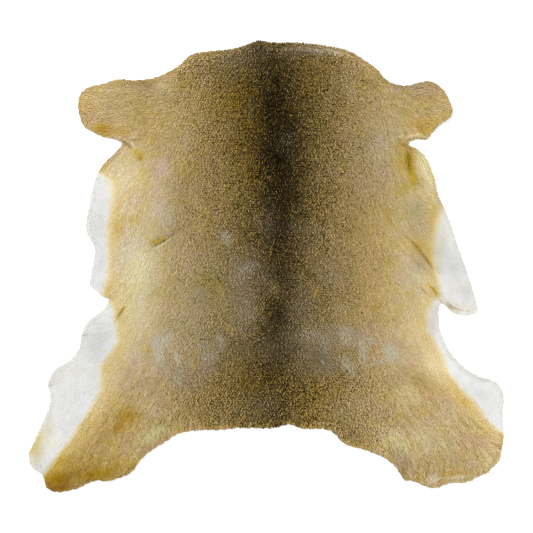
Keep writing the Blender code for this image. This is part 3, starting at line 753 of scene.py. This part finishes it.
def lines(x, y, tint=None):
    """How deep the lines lie at each place, in metres, and how strong those of one tint are there."""
    depth = np.zeros_like(x)
    strength = np.zeros_like(x)
    for *ends, half_width, deep, strong in rows_of(LINES, tint):
        line = line_points(*ends)
        reach = half_width * MM
        low = line.min(0) - 3 * reach
        high = line.max(0) + 3 * reach
        near = (x > low[0]) & (x < high[0]) & (y > low[1]) & (y < high[1])
        if not near.any():
            continue
        gaps = np.hypot(x[near, None] - line[None, :, 0], y[near, None] - line[None, :, 1])
        place = gaps.argmin(1) / (len(line) - 1)
        full = smoothstep(0, 0.2, place) * smoothstep(1.0, 0.75, place)
        fading = 0.35 + 0.65 * full  # a line is fainter at its ends
        profile = np.exp(-((gaps.min(1) / reach) ** 2)) * fading
        depth[near] += deep * MM * profile
        strength[near] = np.maximum(strength[near], strong / PERCENT * profile)
    return depth, strength


def reaches_off(x, y, at_x, at_y, along, across, heading):
    """How far each place is from a patch's middle, along it and across it, in the patch's own reaches."""
    c, s = heading
    dx = x - at_x * MM
    dy = y - at_y * MM
    return (c * dx + s * dy) / (along * MM), (c * dy - s * dx) / (across * MM)


def heading_of(degrees):
    return math.cos(math.radians(degrees)), math.sin(math.radians(degrees))


def patches(x, y, tint):
    """How strong the patches of one tint are at each place: 1 is full."""
    strength = np.zeros_like(x)
    for *place, turn, strong in rows_of(PATCHES, tint):
        u, v = reaches_off(x, y, *place, heading_of(turn))
        strength = np.maximum(strength, strong / PERCENT * np.exp(-(u * u + v * v)))
    return strength


def tufts(x, y, tint=None):
    """How far the tufts of one tint, or of all, cover each place, and how their hair lies there."""
    strength = np.zeros_like(x)
    lie = np.zeros((2,) + x.shape)
    for *place, turn, strong in rows_of(TUFTS, tint):
        heading = heading_of(turn)
        u, v = reaches_off(x, y, *place, heading)
        cover = strong / PERCENT * np.exp(-((u * u + v * v) ** 1.5))
        strength = np.maximum(strength, cover)
        lie[0] += heading[0] * cover
        lie[1] += heading[1] * cover
    return strength, lie


def paleness(x, y):
    """How pale the brown coat is, from 0 on the darkest of the spine to 1, by distance from the spine."""
    at_y, line_x, core, spread = np.array(SPINE, float)[::-1].T
    away = np.abs(x - np.interp(y, at_y * MM, line_x * MM))
    core = np.interp(y, at_y * MM, core)
    spread = np.interp(y, at_y * MM, spread * MM)
    belly = smoothstep(0.24, 0.42, away) * smoothstep(0.33, 0.22, y) * smoothstep(-0.36, -0.16, y)
    leg = smoothstep(-0.20, -0.40, y) * smoothstep(0.20, 0.40, away)
    outer = FLANK_PALENESS * belly - LEG_DARKENING * leg
    return core + (SIDE_PALENESS - core) * (1 - np.exp(-((away / spread) ** 1.4))) + outer


def whiteward(x, y):
    """How far each place lies past the line where the tan coat turns white, in metres."""
    past = np.full_like(x, -1.0)
    for side, line in WHITE_LINES:
        at_y, at_x = np.array(line, float)[::-1].T * MM
        beyond = side * (x - np.interp(y, at_y, at_x))
        beyond -= 1.5 * np.maximum(at_y[0] - y, 0) + 4 * np.maximum(y - at_y[-1], 0)
        past = np.maximum(past, beyond)
    return past


def turned(heading, swing):
    c = np.cos(swing)
    s = np.sin(swing)
    return np.stack([c * heading[0] - s * heading[1], s * heading[0] + c * heading[1]])


def unit(heading):
    return heading / np.maximum(np.hypot(*heading), 1e-6)


def lie_of_hair(x, y, inward):
    """The unit heading of the hair at each place, as two arrays."""
    lie = np.zeros((2,) + x.shape)
    for at_x, at_y, degrees in FLOW:
        c, s = heading_of(degrees)
        weight = 1 / ((x - at_x * MM) ** 2 + (y - at_y * MM) ** 2 + FLOW_BLEND**2) ** 2
        lie[0] += weight * c
        lie[1] += weight * s
    lie /= np.hypot(*lie)
    cover, heading = tufts(x, y)
    lie = unit(lie * (1 - np.minimum(cover, 1)) + 1.5 * heading)
    lie = turned(lie, swells(LIE_SEED, LIE_SWELLS, x, y))
    outward = unit(-np.stack(inward.slope(x, y, SLOPE_STEP)))
    turn = smoothstep(RIM_BAND, 0.002, inward(x, y))
    return unit(lie * (1 - turn) + outward * turn)


# ---------------------------------------------------------------- skin and undercoat


def seen_from_above(verts):
    """The x and the y of some points, as two arrays."""
    return np.array([vert.co.to_2d() for vert in verts]).T


def cut_sheet(inward, inset, pitch):
    """A flat grid of quads over the hide, its edge moved on to the line `inset` in from the rim."""
    bm = bmesh.new()
    count = round(2 * SHEET_HALF / pitch)
    bmesh.ops.create_grid(bm, x_segments=count, y_segments=count, size=SHEET_HALF)
    outside = inward(*seen_from_above(bm.verts)) < inset - 0.4 * pitch
    doomed = [vert for vert, out in zip(list(bm.verts), outside) if out]
    bmesh.ops.delete(bm, geom=doomed, context="VERTS")
    loose = [vert for vert in bm.verts if len(vert.link_faces) == 0]
    bmesh.ops.delete(bm, geom=loose, context="VERTS")
    for _ in range(3):
        edge = [vert for vert in bm.verts if vert.is_boundary]
        bmesh.ops.smooth_vert(bm, verts=edge, factor=0.4, use_axis_x=True, use_axis_y=True)
        x, y = seen_from_above(edge)
        moves = inward.climb(x, y, inset - inward(x, y), SLOPE_STEP, LEAST_STEEP)
        for vert, dx, dy in zip(edge, *moves):
            vert.co.x += dx
            vert.co.y += dy
    return bm


def lift_to(verts, height):
    for vert, z in zip(verts, height(*seen_from_above(verts))):
        vert.co.z = z


def second_layer(bm):
    """Gives a sheet its upper side, still on the lower one, and returns the upper points."""
    shell = bmesh.ops.extrude_face_region(bm, geom=bm.faces[:])
    return [item for item in shell["geom"] if isinstance(item, bmesh.types.BMVert)]


def placed(name, data):
    thing = bpy.data.objects.new(name, data)
    bpy.context.scene.collection.objects.link(thing)
    return thing


def mesh_of(name, bm):
    mesh = bpy.data.meshes.new(name)
    bm.to_mesh(mesh)
    bm.free()
    return mesh


def piece_of(name, mesh, material):
    """The mesh as a piece of the hide, in its own finish."""
    mesh.materials.append(material)
    mesh.polygons.foreach_set("use_smooth", np.ones(len(mesh.polygons), bool))
    piece = placed(name, mesh)
    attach(piece, "root")
    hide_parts("hide")
    return piece


def make_skin(under, inward):
    """The tanned skin: a thin sheet flat on the floor, turned up a little where the rim curls."""
    bm = cut_sheet(inward, SKIN_INSET, SKIN_PITCH)
    flat_area = sum(face.calc_area() for face in bm.faces)
    lift_to(list(bm.verts), under)
    bmesh.ops.recalc_face_normals(bm, faces=bm.faces)
    if sum(face.normal.z for face in bm.faces) < 0:
        bmesh.ops.reverse_faces(bm, faces=bm.faces)
    bmesh.ops.translate(bm, verts=second_layer(bm), vec=(0, 0, SKIN))
    bmesh.ops.recalc_face_normals(bm, faces=bm.faces)
    return piece_of("skin", mesh_of("skin", bm), skin_finish()), flat_area


def make_undercoat(top, under, inward):
    """The dense short wool under the guard hair, from the skin to part of the coat's height."""
    bm = cut_sheet(inward, UNDERCOAT_INSET, UNDERCOAT_PITCH)
    lift_to(list(bm.verts), lambda x, y: under(x, y) + UNDERCOAT_BASE * SKIN)
    lift_to(second_layer(bm), lambda x, y: undercoat_top(x, y, top, under))
    bmesh.ops.recalc_face_normals(bm, faces=bm.faces)
    undercoat = piece_of("undercoat", mesh_of("undercoat", bm), undercoat_finish())
    x, y = seen_from_above(undercoat.data.vertices)
    carry(undercoat.data, "tone", paleness(x, y))
    carry(undercoat.data, "white", smoothstep(-0.010, 0.012, whiteward(x, y)))
    return undercoat


def undercoat_top(x, y, top, under):
    """How high the wool stands, kept clear of the bottom of each crease by the width of a face."""
    floor = under(x, y) + SKIN
    reach = CREASE_REACH
    around = ((0, 0), (reach, 0), (-reach, 0), (0, reach), (0, -reach))
    depth = np.max([lines(x + dx, y + dy)[0] for dx, dy in around], axis=0)
    return np.maximum(floor + UNDERCOAT_SHARE * (top(x, y) - floor) - depth, floor + UNDERCOAT_LEAST)


# ---------------------------------------------------------------- guard hair


def hex_corner():
    return CAD_BOX[0][0] - GRID_MARGIN, CAD_BOX[0][1] - GRID_MARGIN


def hex_size(pitch):
    """How many rows and columns a three-way grid over the hide has."""
    width, length = (CAD_BOX[1][axis] - CAD_BOX[0][axis] + 2 * GRID_MARGIN for axis in (0, 1))
    return int(length / (pitch * math.sqrt(3) / 2)), int(width / pitch)


def hex_grid(pitch, jitter, rng):
    """Points on an even three-way grid over the hide, each moved a little at random."""
    rows, cols = hex_size(pitch)
    low_x, low_y = hex_corner()
    j, i = np.mgrid[0:rows, 0:cols].astype(float)
    x = low_x + (i + 0.5 * (j % 2)) * pitch
    y = low_y + j * pitch * math.sqrt(3) / 2
    points = np.stack([x.ravel(), y.ravel()], axis=1)
    return points + rng.uniform(-jitter, jitter, points.shape) * pitch


class Locks:
    """The small locks in which the guard hair stands, on a jittered three-way grid."""

    def __init__(self):
        rng = np.random.default_rng(LOCK_SEED)
        self.middles = hex_grid(LOCK_PITCH, LOCK_JITTER, rng)
        self.cols = hex_size(LOCK_PITCH)[1]
        self.shade = np.maximum(0.8 - np.abs(rng.standard_normal(len(self.middles))), -1.6)
        self.swing = np.clip(rng.standard_normal(len(self.middles)), -1.8, 1.8)

    def around(self, spots):
        """The numbers of the nine locks about each place."""
        low_x, low_y = hex_corner()
        row = np.round((spots[:, 1] - low_y) / (LOCK_PITCH * math.sqrt(3) / 2)).astype(int)
        col = np.floor((spots[:, 0] - low_x) / LOCK_PITCH).astype(int)
        steps = np.array([(j, i) for j in (-1, 0, 1) for i in (-1, 0, 1)])
        row = np.clip(row[:, None] + steps[:, 0], 0, len(self.middles) // self.cols - 1)
        col = np.clip(col[:, None] + steps[:, 1], 0, self.cols - 1)
        return row * self.cols + col

    def nearest(self, spots, lie, sleek):
        """For each place: its lock, how far out in it the place is, and the lock's swing there."""
        found = self.around(spots)
        swing = self.swing[found] * on(LOCK_SWING, sleek)[:, None]
        ahead_x, ahead_y = turned(lie[:, :, None], swing)
        away_x, away_y = np.moveaxis(spots[:, None, :] - self.middles[found], 2, 0)
        shape = on(LOCK_SHAPE, sleek)[:, None]
        ahead = away_x * ahead_x + away_y * ahead_y
        aside = away_y * ahead_x - away_x * ahead_y
        out = np.sqrt(ahead**2 / shape + aside**2 * shape)
        pick = np.arange(len(spots)), out.argmin(1)
        return found[pick], out[pick] / LOCK_PITCH, swing[pick]


def hair_roots(inward, rng):
    """Where the hair stands: evenly over the hide, and closer together in a band along the rim."""
    roots = hex_grid(HAIR_PITCH, ROOT_JITTER, rng)
    roots = roots[inward(*roots.T) > UNDERCOAT_INSET - RIM_ROOTS_PAST]
    rim = hex_grid(RIM_HAIR_PITCH, ROOT_JITTER, rng)
    far_in = inward(*rim.T)
    in_band = (far_in > UNDERCOAT_INSET - 2 * RIM_ROOTS_PAST) & (far_in < RIM_HAIR_BAND)
    return np.vstack([roots, rim[in_band]])


def hair_runs(x, y, far_in, sleek, spare, rng):
    """How far each hair reaches along the hide. At the rim it reaches out over it, evenly in the white."""
    run = on(HAIR_RUN, sleek) * rng.uniform(0.7, 1.25, len(x))
    ragged = 1 - 0.6 * smoothstep(-0.01, 0.01, whiteward(x, y))
    reach = far_in + RIM_HAIR_PAST * (1 - ragged * rng.uniform(0, 1.6, len(x))) + spare
    longer = (1 - sleek) * smoothstep(0.020, 0.010, far_in)  # the back's hair is long at the rim
    run = run * (1 + 1.2 * longer)
    return np.where(far_in < RIM_HAIR_BAND, np.maximum(run, reach), run)


def tip_heights(tips, top, under, inward, uneven):
    """How high the tips stand: on the coat's surface, lower in creases, and never in the skin."""
    x, y = tips.T
    floor = under(x, y) + HAIR_CLEAR
    floor = floor + (SKIN + UNDERCOAT_LEAST) * smoothstep(0.004, 0.010, inward(x, y))
    return np.maximum(top(x, y) - lines(x, y)[0] + uneven, floor)


def guard_hairs(top, under, inward):
    """The roots, bends and tips of all guard hairs, and what tells their shades apart."""
    rng = np.random.default_rng(HAIR_SEED)
    roots = hair_roots(inward, rng)
    count = len(roots)
    x, y = roots.T
    lie = lie_of_hair(x, y, inward.blurred(2))
    sleek = smoothstep(SLEEK_FROM, SLEEK_TO, np.abs(x - SPINE_X))
    far_in = inward(x, y)
    at_rim = far_in < RIM_HAIR_BAND
    spare = RIM_HAIR_SPARE * (patches(x, y, "long") - patches(x, y, "short"))
    run = hair_runs(x, y, far_in, sleek, spare, rng)
    spots = roots + SEEN * (lie * run).T
    locks = Locks()
    own, out, swing = locks.nearest(spots, lie, sleek)
    middles = locks.middles[own]
    shade = locks.shade[own]
    stroke = strokes(STROKE_SEED, STROKE_WIDTH, spots, turned(lie, swing) * on(STROKE_REACH, sleek))
    broad_stroke = strokes(BROAD_STROKE_SEED, BROAD_STROKE_WIDTH, spots, 2 * lie * on(STROKE_REACH, sleek))
    swing = 0.7 * swing * ~at_rim * (1 - 0.8 * sleek) + HAIR_STRAY * rng.standard_normal(count)
    tips = roots + (turned(lie, swing) * run).T
    aside = (middles - spots)[:, 1] * lie[0] - (middles - spots)[:, 0] * lie[1]
    pull = on(LOCK_PULL, sleek) * rng.uniform(0.5, 1.3, count) * aside
    tips += np.stack([-lie[1] * pull, lie[0] * pull], axis=1)
    tips = held_in(tips, inward, RIM_HAIR_PAST + spare)
    bends = roots + HAIR_BEND * (tips - roots)
    uneven = (LOCK_HEIGHT * shade - GAP_DEPTH * smoothstep(0.25, 0.6, out)) * (1 - 0.8 * sleek)
    uneven = TIP_UNEVENNESS * rng.standard_normal(count) * (1 - 0.5 * sleek) + uneven
    low = undercoat_top(x, y, top, under) - HAIR_SINK
    high = tip_heights(tips, top, under, inward, uneven)
    stations = (roots, bends, tips, bends)
    return {
        "root": np.column_stack([roots, low]),
        "bend": np.column_stack([bends, low + HAIR_BEND_HEIGHT * (high - low)]),
        "tip": np.column_stack([tips, high]),
        "roll": rng.uniform(-0.75, 0.75, count) * (1 - 0.5 * sleek),
        "half": HAIR_HALF_WIDTH * rng.uniform(0.75, 1.25, count) * (1 + 0.4 * at_rim),
        "lock": shade,
        # out and brim mark where the coat's finish paints shade: the gaps between locks and the band along
        # the rim
        "out": np.column_stack([lock_edge(locks.nearest(at, lie, sleek)[1]) for at in stations]),
        "brim": smoothstep(0.013, 0.005, far_in),
        "own": rng.uniform(-1, 1, count),
        "stroke": stroke,
        "broad_stroke": broad_stroke,
        "sleek": sleek,
    }


def strokes(seed, width, spots, ahead):
    """An uneven shade drawn out along the hair: one number for each hair, from -1.8 to 1.5."""
    field = unevenness(seed, width)
    field.values = field.values - field.blurred(10).values
    total = np.zeros(len(spots))
    for step in np.linspace(-1, 1, 9):
        total += field(*(spots.T + step * ahead))
    return np.clip(total / total.std(), -1.8, 1.5)


def lock_edge(out):
    """From 0 in a lock to 1 in the gap between two, where the coat's finish paints shade."""
    return smoothstep(0.28, 0.50, out)


def held_in(tips, inward, past):
    """Draws back tips that reach further than `past` outside the rim."""
    for _ in range(3):
        x, y = tips.T
        over = np.minimum(inward(x, y) + past, 0)
        move = inward.climb(x, y, over, TIP_SLOPE_STEP, TIP_LEAST_STEEP)
        tips = tips - np.stack(move, axis=1)
    return tips


def tint_values(hairs):
    """What tells the shade of each hair, read where it is seen: one number for each tint."""
    x, y, _ = (hairs["root"] + SEEN * (hairs["tip"] - hairs["root"])).T
    wander_x, wander_y = (at + swells(seed, EDGE_SWELLS, x, y) for at, seed in zip((x, y), EDGE_SEEDS))
    near_x = x + NEAR * (wander_x - x)
    near_y = y + NEAR * (wander_y - y)
    past = whiteward(near_x, near_y) + 0.003 * hairs["own"]
    band = 0.026 + 0.034 * smoothstep(0.0, -0.10, y)  # it is broader on the hind legs
    blond = smoothstep(0, 1, (past + band) / (band - 0.007))
    values = {
        "tone": paleness(wander_x, wander_y),
        "white": smoothstep(-0.016, 0.024, past),
        "blond": np.maximum(blond, patches(wander_x, wander_y, "blond")),
        "brim": hairs["brim"],
        "lock": hairs["lock"],
        "own": hairs["own"],
        "stroke": hairs["stroke"] + 0.45 * hairs["sleek"] * hairs["broad_stroke"],
        "smooth": np.maximum(patches(wander_x, wander_y, "smooth"), 0.7 * hairs["sleek"]),
    }
    ragged = 0.30 * hairs["own"] + 0.20 * hairs["lock"]
    for tint, _, _ in CASTS + SHADES + WASHES + TUFT_COLOURS:
        cover = tufts(near_x, near_y, tint)[0]
        cover = cover * smoothstep(-0.25, 0.50, cover + ragged)
        values[tint] = np.maximum(patches(wander_x, wander_y, tint), cover)
    return values


def carry(mesh, name, values, kind="FLOAT", field="value"):
    """Gives the mesh a value at each of its points, for its finish to read."""
    attribute = mesh.attributes.new(name, kind, "POINT")
    attribute.data.foreach_set(field, np.asarray(values, np.float32).ravel())


def unit_rows(vectors):
    return vectors / np.maximum(np.linalg.norm(vectors, axis=1), 1e-9)[:, None]


def hair_mesh(name, hairs, tints):
    """One joined mesh of small blades: two triangles each, narrow at the root, pointed at the tip."""
    count = len(hairs["root"])
    root, bend, tip = (hairs[key] for key in ("root", "bend", "tip"))
    across = unit_rows(np.cross(tip - root, (0.0, 0.0, 1.0)))
    upward = np.cross(across, unit_rows(tip - root))
    roll = hairs["roll"][:, None]
    side = (np.cos(roll) * across + np.sin(roll) * upward) * hairs["half"][:, None]
    corners = np.stack([root, bend + side, tip, bend - side], axis=1)
    first = 4 * np.arange(count)[:, None]
    faces = np.hstack([first + [0, 1, 3], first + [1, 2, 3]])
    mesh = bpy.data.meshes.new(name)
    mesh.vertices.add(4 * count)
    mesh.vertices.foreach_set("co", corners.astype(np.float32).ravel())
    mesh.loops.add(6 * count)
    mesh.loops.foreach_set("vertex_index", faces.astype(np.int32).ravel())
    mesh.polygons.add(2 * count)
    mesh.polygons.foreach_set("loop_start", np.arange(0, 6 * count, 3, dtype=np.int32))
    mesh.update(calc_edges=True)
    at_x = corners[:, :, 0].ravel()
    at_y = corners[:, :, 1].ravel()
    for key, value in tints.items():
        value = np.repeat(value, 4)
        if key in LINES:
            value = np.maximum(value, lines(at_x, at_y, key)[1])
        carry(mesh, key, value)
    carry(mesh, "out", hairs["out"])
    carry(mesh, "along", np.tile([0, HAIR_BEND, 1, HAIR_BEND], count))
    spot = np.repeat(root + SEEN * (tip - root), 4, axis=0)
    carry(mesh, "spot", spot, "FLOAT_VECTOR", "vector")
    layer = mesh.uv_layers.new(name="OFBake")
    layer.data.foreach_set("uv", bake_cells(count).ravel())
    return mesh


def bake_cells(count):
    """A small square of the map for each blade, row by row."""
    cols = math.ceil(math.sqrt(count))
    cell = 1 / cols
    index = np.arange(count)
    corner = np.stack([index % cols, index // cols], axis=1) * cell
    inset = BAKE_INSET * cell
    square = np.array([(0, 0), (1, 0), (1, 1), (0, 1)]) * (cell - 2 * inset) + inset
    uv = corner[:, None, :] + square[None, :, :]
    return uv[:, [0, 1, 3, 1, 2, 3], :].astype(np.float32)


def make_hair(top, under, inward):
    """The guard hair, in strips from the left flank to the right one."""
    finish = coat_finish()
    hairs = guard_hairs(top, under, inward)
    tints = tint_values(hairs)
    x, y, _ = hairs["root"].T
    order = np.lexsort((x, np.round(y / BLADE_ROW)))
    pieces = []
    for name, start, end in STRIPS:
        here = order[(x[order] >= start) & (x[order] < end)]
        part = {key: value[here] for key, value in hairs.items()}
        shades = {key: value[here] for key, value in tints.items()}
        pieces.append(piece_of(name, hair_mesh(name, part, shades), finish))
    return pieces


# ---------------------------------------------------------------- finishes


class Value:
    """A shader socket that takes +, -, * and / as a number does: each adds a Math node."""

    def __init__(self, finish, socket):
        self.finish = finish
        self.socket = socket

    def _math(self, operation, first, second):
        return self.finish.node("ShaderNodeMath", {"operation": operation}, {0: first, 1: second})

    def __add__(self, other):
        return self._math("ADD", self, other)

    __radd__ = __add__

    def __sub__(self, other):
        return self._math("SUBTRACT", self, other)

    def __rsub__(self, other):
        return self._math("SUBTRACT", other, self)

    def __mul__(self, other):
        return self._math("MULTIPLY", self, other)

    __rmul__ = __mul__


class Finish:
    """A procedural material, built node by node around one Principled shader."""

    def __init__(self, name, **constants):
        self.material = bpy.data.materials.new(name)
        self.material.use_nodes = True
        self.tree = self.material.node_tree
        self.shader = self.tree.nodes["Principled BSDF"]
        for key, value in constants.items():
            self.shader.inputs[key.replace("_", " ")].default_value = value

    def node(self, kind, settings, sockets, output=0):
        """Adds a node: its settings first, then the value or the link of each socket."""
        made = self.tree.nodes.new(kind)
        for key, value in settings.items():
            if key == "stops":
                self._stops(made.color_ramp, value)
            else:
                setattr(made, key, value)
        for key, value in sockets.items():
            if isinstance(value, Value):
                self.tree.links.new(value.socket, made.inputs[key])
            else:
                made.inputs[key].default_value = value
        return Value(self, made.outputs[output])

    def _stops(self, ramp, stops):
        while len(ramp.elements) < len(stops):
            ramp.elements.new(1.0)
        for element, (place, colour) in zip(ramp.elements, stops):
            element.position = place
            element.color = colour

    def read(self, name, output="Fac"):
        """A number that the mesh carries, or with the output "Vector" a place."""
        return self.node("ShaderNodeAttribute", {"attribute_name": name}, {}, output)

    def place(self):
        """The place on the piece, in its own axes."""
        return self.node("ShaderNodeTexCoord", {}, {}, "Object")

    def noise(self, at, size, detail=2.0, roughness=0.5, lacunarity=2.0):
        """Soft noise from 0 to 1 with swells about `size` metres across."""
        sockets = {"Vector": at, "Scale": 1 / size, "Detail": detail, "Roughness": roughness}
        sockets["Lacunarity"] = lacunarity
        return self.node("ShaderNodeTexNoise", {}, sockets)

    def spread(self, value, low, high, to=(0.0, 1.0)):
        """The value from low to high, stretched to the new range and held inside it."""
        sockets = {0: value, 1: low, 2: high, 3: to[0], 4: to[1]}
        return self.node("ShaderNodeMapRange", {"interpolation_type": "SMOOTHSTEP"}, sockets)

    def mix(self, factor, first, second, blend="MIX"):
        """Two colours mixed by a factor."""
        settings = {"data_type": "RGBA", "blend_type": blend}
        return self.node("ShaderNodeMix", settings, {0: factor, 6: first, 7: second}, 2)

    def cast(self, colour, factor, tint):
        """A colour multiplied by a tint, as far as the factor says."""
        return self.mix(factor, colour, tint, "MULTIPLY")

    def joined(self, red, green, blue):
        """Three numbers as one colour."""
        return self.node("ShaderNodeCombineColor", {}, {0: red, 1: green, 2: blue})

    def ramp(self, value, stops):
        return self.node("ShaderNodeValToRGB", {"stops": stops}, {0: value})

    def brown(self, tone):
        """The coat's brown for a tone from 0, the darkest of the spine, to 1."""
        return self.ramp(tone, [(place, linear(*colour, gain=COAT_GAIN)) for place, colour in BROWNS])

    def feed(self, socket, value):
        self.tree.links.new(value.socket, self.shader.inputs[socket])

    def bump(self, height, strength, distance):
        sockets = {"Height": height, "Strength": strength, "Distance": distance}
        self.feed("Normal", self.node("ShaderNodeBump", {}, sockets))


def linear(red, green, blue, gain=1.0):
    """A colour as a picture shows it, from 0 to 255, turned into the shader's light values."""
    parts = []
    for part in (red, green, blue):
        part = part / 255
        part = part / 12.92 if part <= 0.04045 else ((part + 0.055) / 1.055) ** 2.4
        parts.append(min(part * gain, 0.96))
    return (*parts, 1.0)


def coat_brown(finish, spot, tone):
    """The tan and brown hair, in the hues that wander over it and the casts of its patches."""
    hue = finish.noise(spot, size=0.036, detail=3.0, roughness=0.55)
    turn = finish.noise(spot, size=0.060, detail=3.0, roughness=0.55, lacunarity=2.3)
    fleck = hue + 0.7 * (finish.noise(spot, size=0.0100) - 0.5)
    brown = finish.brown(tone)
    brown = finish.cast(brown, 0.85 * finish.spread(fleck, 0.50, 0.72), YELLOW_CAST)
    brown = finish.cast(brown, 0.85 * finish.spread(fleck, 0.50, 0.30), ROSE_CAST)
    brown = finish.cast(brown, 0.70 * finish.spread(turn, 0.52, 0.66), SAGE_CAST)
    brown = finish.mix(0.7 * finish.read("blond"), brown, linear(*BLOND, gain=COAT_GAIN))
    for tint, cast, strength in CASTS:
        brown = finish.cast(brown, strength * finish.read(tint), cast)
    return brown


def coat_painted_shade(finish, spot, tone, smooth, white):
    """The painted shade between the hairs: at their roots, in the gaps between locks, at the brim, and
    evenly where the hair lies smooth.
    """
    brim = finish.read("brim")
    pits = finish.spread(finish.noise(spot, size=0.024), 0.36, 0.62, to=(0.70, 1.20))
    combed = 1.0
    for tint, strength in COMBED:
        combed = combed - strength * finish.read(tint)
    combed = combed * (1.0 - 0.85 * brim)
    gap = finish.read("out") * pits * combed * finish.spread(tone, 0.50, 0.86, to=(0.74, 0.12))
    gap = gap * (1.0 - 0.75 * smooth)
    root = 1.0 - finish.spread(finish.read("along"), 0.0, 0.75, to=(0.55, 1.0))
    dark = (root * (1.0 - 0.4 * brim) + gap) * (1.0 - 0.94 * white)
    return dark + 0.36 * brim * (1.0 - 0.4 * white) + 0.17 * smooth * (1.0 - white)


def coat_finish():
    """Guard hair: dark brown on the spine to pale tan on the flanks, white at the belly."""
    finish = Finish("reindeer_coat", Sheen_Weight=0.01, Sheen_Roughness=0.5, Specular_IOR_Level=0.04)
    spot = finish.read("spot", "Vector")
    mottle = finish.noise(spot, size=0.020, detail=3.0, roughness=0.6)
    speckle = finish.noise(spot, size=0.0050, detail=2.0, roughness=0.55)
    smooth = finish.read("smooth")
    stroke = finish.read("stroke")
    grain = 0.09 * finish.read("lock") + 0.08 * finish.read("own") + 0.10 * (speckle - 0.5)
    grain = grain * (1.0 - 0.5 * smooth) + (0.085 + 0.050 * smooth) * stroke
    tone = finish.read("tone")
    broad = (mottle - 0.5) * finish.spread(tone, 0.50, 0.86, to=(0.20, 0.10))
    tone = tone + broad + grain * finish.spread(tone, 0.50, 0.84, to=(1.40, 0.36))
    white = finish.read("white") + 0.15 * (mottle - 0.5) + 0.04 * stroke
    white = finish.spread(white, 0.06, 0.94)
    snow = finish.mix(finish.spread(mottle, 0.30, 0.66), linear(*SNOW_SHADE), linear(*SNOW))
    snow = finish.mix(finish.spread(white, 0.45, 1.0), linear(*BUTTER), snow)
    colour = finish.mix(white, coat_brown(finish, spot, tone), snow)
    for tint, wash, strength in WASHES + TUFT_COLOURS:
        colour = finish.mix(strength * finish.read(tint), colour, linear(*wash, gain=COAT_GAIN))
    for tint, cast, strength in SHADES:
        colour = finish.cast(colour, strength * finish.read(tint), cast)
    # painted shade: the colour is darkened at the roots of the hairs, in the gaps between locks and at the
    # brim
    dark = coat_painted_shade(finish, spot, tone, smooth, white)
    lit = finish.joined(*(1.0 - share * dark for share in PAINTED_SHADE_SHARES))
    finish.feed("Base Color", finish.cast(colour, 1.0, lit))
    finish.feed("Roughness", finish.spread(mottle, 0.3, 0.7, to=(0.55, 0.72)))
    return finish.material


def undercoat_finish():
    """Dense wool under the hair, with a fine crimp, darker than the coat as painted shade deep in the
    coat.
    """
    finish = Finish("reindeer_undercoat", Roughness=0.9, Specular_IOR_Level=0.1)
    crimp = finish.noise(finish.place(), size=0.0030, detail=3.0, roughness=0.6)
    tone = finish.read("tone")
    # painted shade: the wool's brown is darkened to 45 to 72 percent, most where the coat is dark
    depth = finish.spread(tone, 0.45, 0.80, to=(0.45, 0.72))
    brown = finish.brown(tone + 0.3 * (crimp - 0.5))
    brown = finish.cast(brown, 1.0, finish.joined(depth, depth, depth))
    finish.feed("Base Color", finish.mix(finish.read("white"), brown, linear(*SNOW_SHADE)))
    finish.bump(crimp, 0.6, 0.0015)
    return finish.material


def skin_finish():
    """Tanned skin: cream suede with soft darker clouds, a fine nap and faint pores."""
    finish = Finish("tanned_skin", Specular_IOR_Level=0.2, Sheen_Weight=0.15)
    at = finish.place()
    cloud = finish.noise(at, size=0.16, detail=4.0, roughness=0.55)
    nap = finish.noise(at, size=0.0022, detail=3.0, roughness=0.6)
    pores = finish.noise(at, size=0.0065)
    colour = finish.ramp(0.8 * cloud + 0.2 * nap, [(place, linear(*suede)) for place, suede in SUEDES])
    colour = finish.mix(0.35 * finish.spread(pores, 0.60, 0.72), colour, linear(*PORES))
    finish.feed("Base Color", colour)
    finish.feed("Roughness", finish.spread(cloud, 0.3, 0.7, to=(0.78, 0.92)))
    finish.bump(0.6 * nap + 0.4 * pores, 0.35, 0.0008)
    return finish.material


def floor_finish():
    """A pale matt floor with a barely seen grain."""
    finish = Finish("pale_floor", Roughness=0.9, Specular_IOR_Level=0.1)
    grain = finish.noise(finish.place(), size=0.02)
    finish.feed("Base Color", finish.mix(grain, (0.88, 0.88, 0.88, 1), (0.90, 0.90, 0.90, 1)))
    return finish.material


# ---------------------------------------------------------------- the room


def make_floor():
    bm = bmesh.new()
    bmesh.ops.create_grid(bm, x_segments=2, y_segments=2, size=FLOOR_HALF)
    floor = placed("floor", mesh_of("floor", bm))
    floor.data.materials.append(floor_finish())


def make_light(name, place, width, power):
    light = bpy.data.lights.new(name, "AREA")
    light.shape = "DISK"
    light.size = width
    light.energy = power
    lamp = placed(name, light)
    lamp.location = place
    lamp.rotation_euler = (-Vector(place)).to_track_quat("-Z", "Y").to_euler()


def make_room():
    """Pale floor, soft lights and the camera straight above, with the hide centred in the frame."""
    make_floor()
    for light in LIGHTS:
        make_light(*light)
    world = bpy.data.worlds.new("studio")
    world.use_nodes = True
    world.node_tree.nodes["Background"].inputs["Color"].default_value = (1.0, 1.0, 1.0, 1.0)
    world.node_tree.nodes["Background"].inputs["Strength"].default_value = WORLD_STRENGTH
    scene = bpy.context.scene
    scene.world = world
    scene.view_settings.view_transform = "Standard"
    scene.cycles.denoising_prefilter = "NONE"  # keeps single hairs crisp
    scene.cycles.filter_width = 0.9
    lens = bpy.data.cameras.new("camera")
    lens.sensor_fit = "HORIZONTAL"
    lens.sensor_width = 36.0
    lens.lens = lens.sensor_width * (CAMERA_HEIGHT - COAT_LEVEL) / FRAME_WIDTH
    scene.camera = placed("camera", lens)
    scene.camera.location = (0.0, 0.0, CAMERA_HEIGHT)


def main():
    make_room()
    top, under, inward = read_hide()
    coat = make_hair(top, under, inward)
    undercoat = make_undercoat(top, under, inward)
    skin, flat_area = make_skin(under, inward)


main()
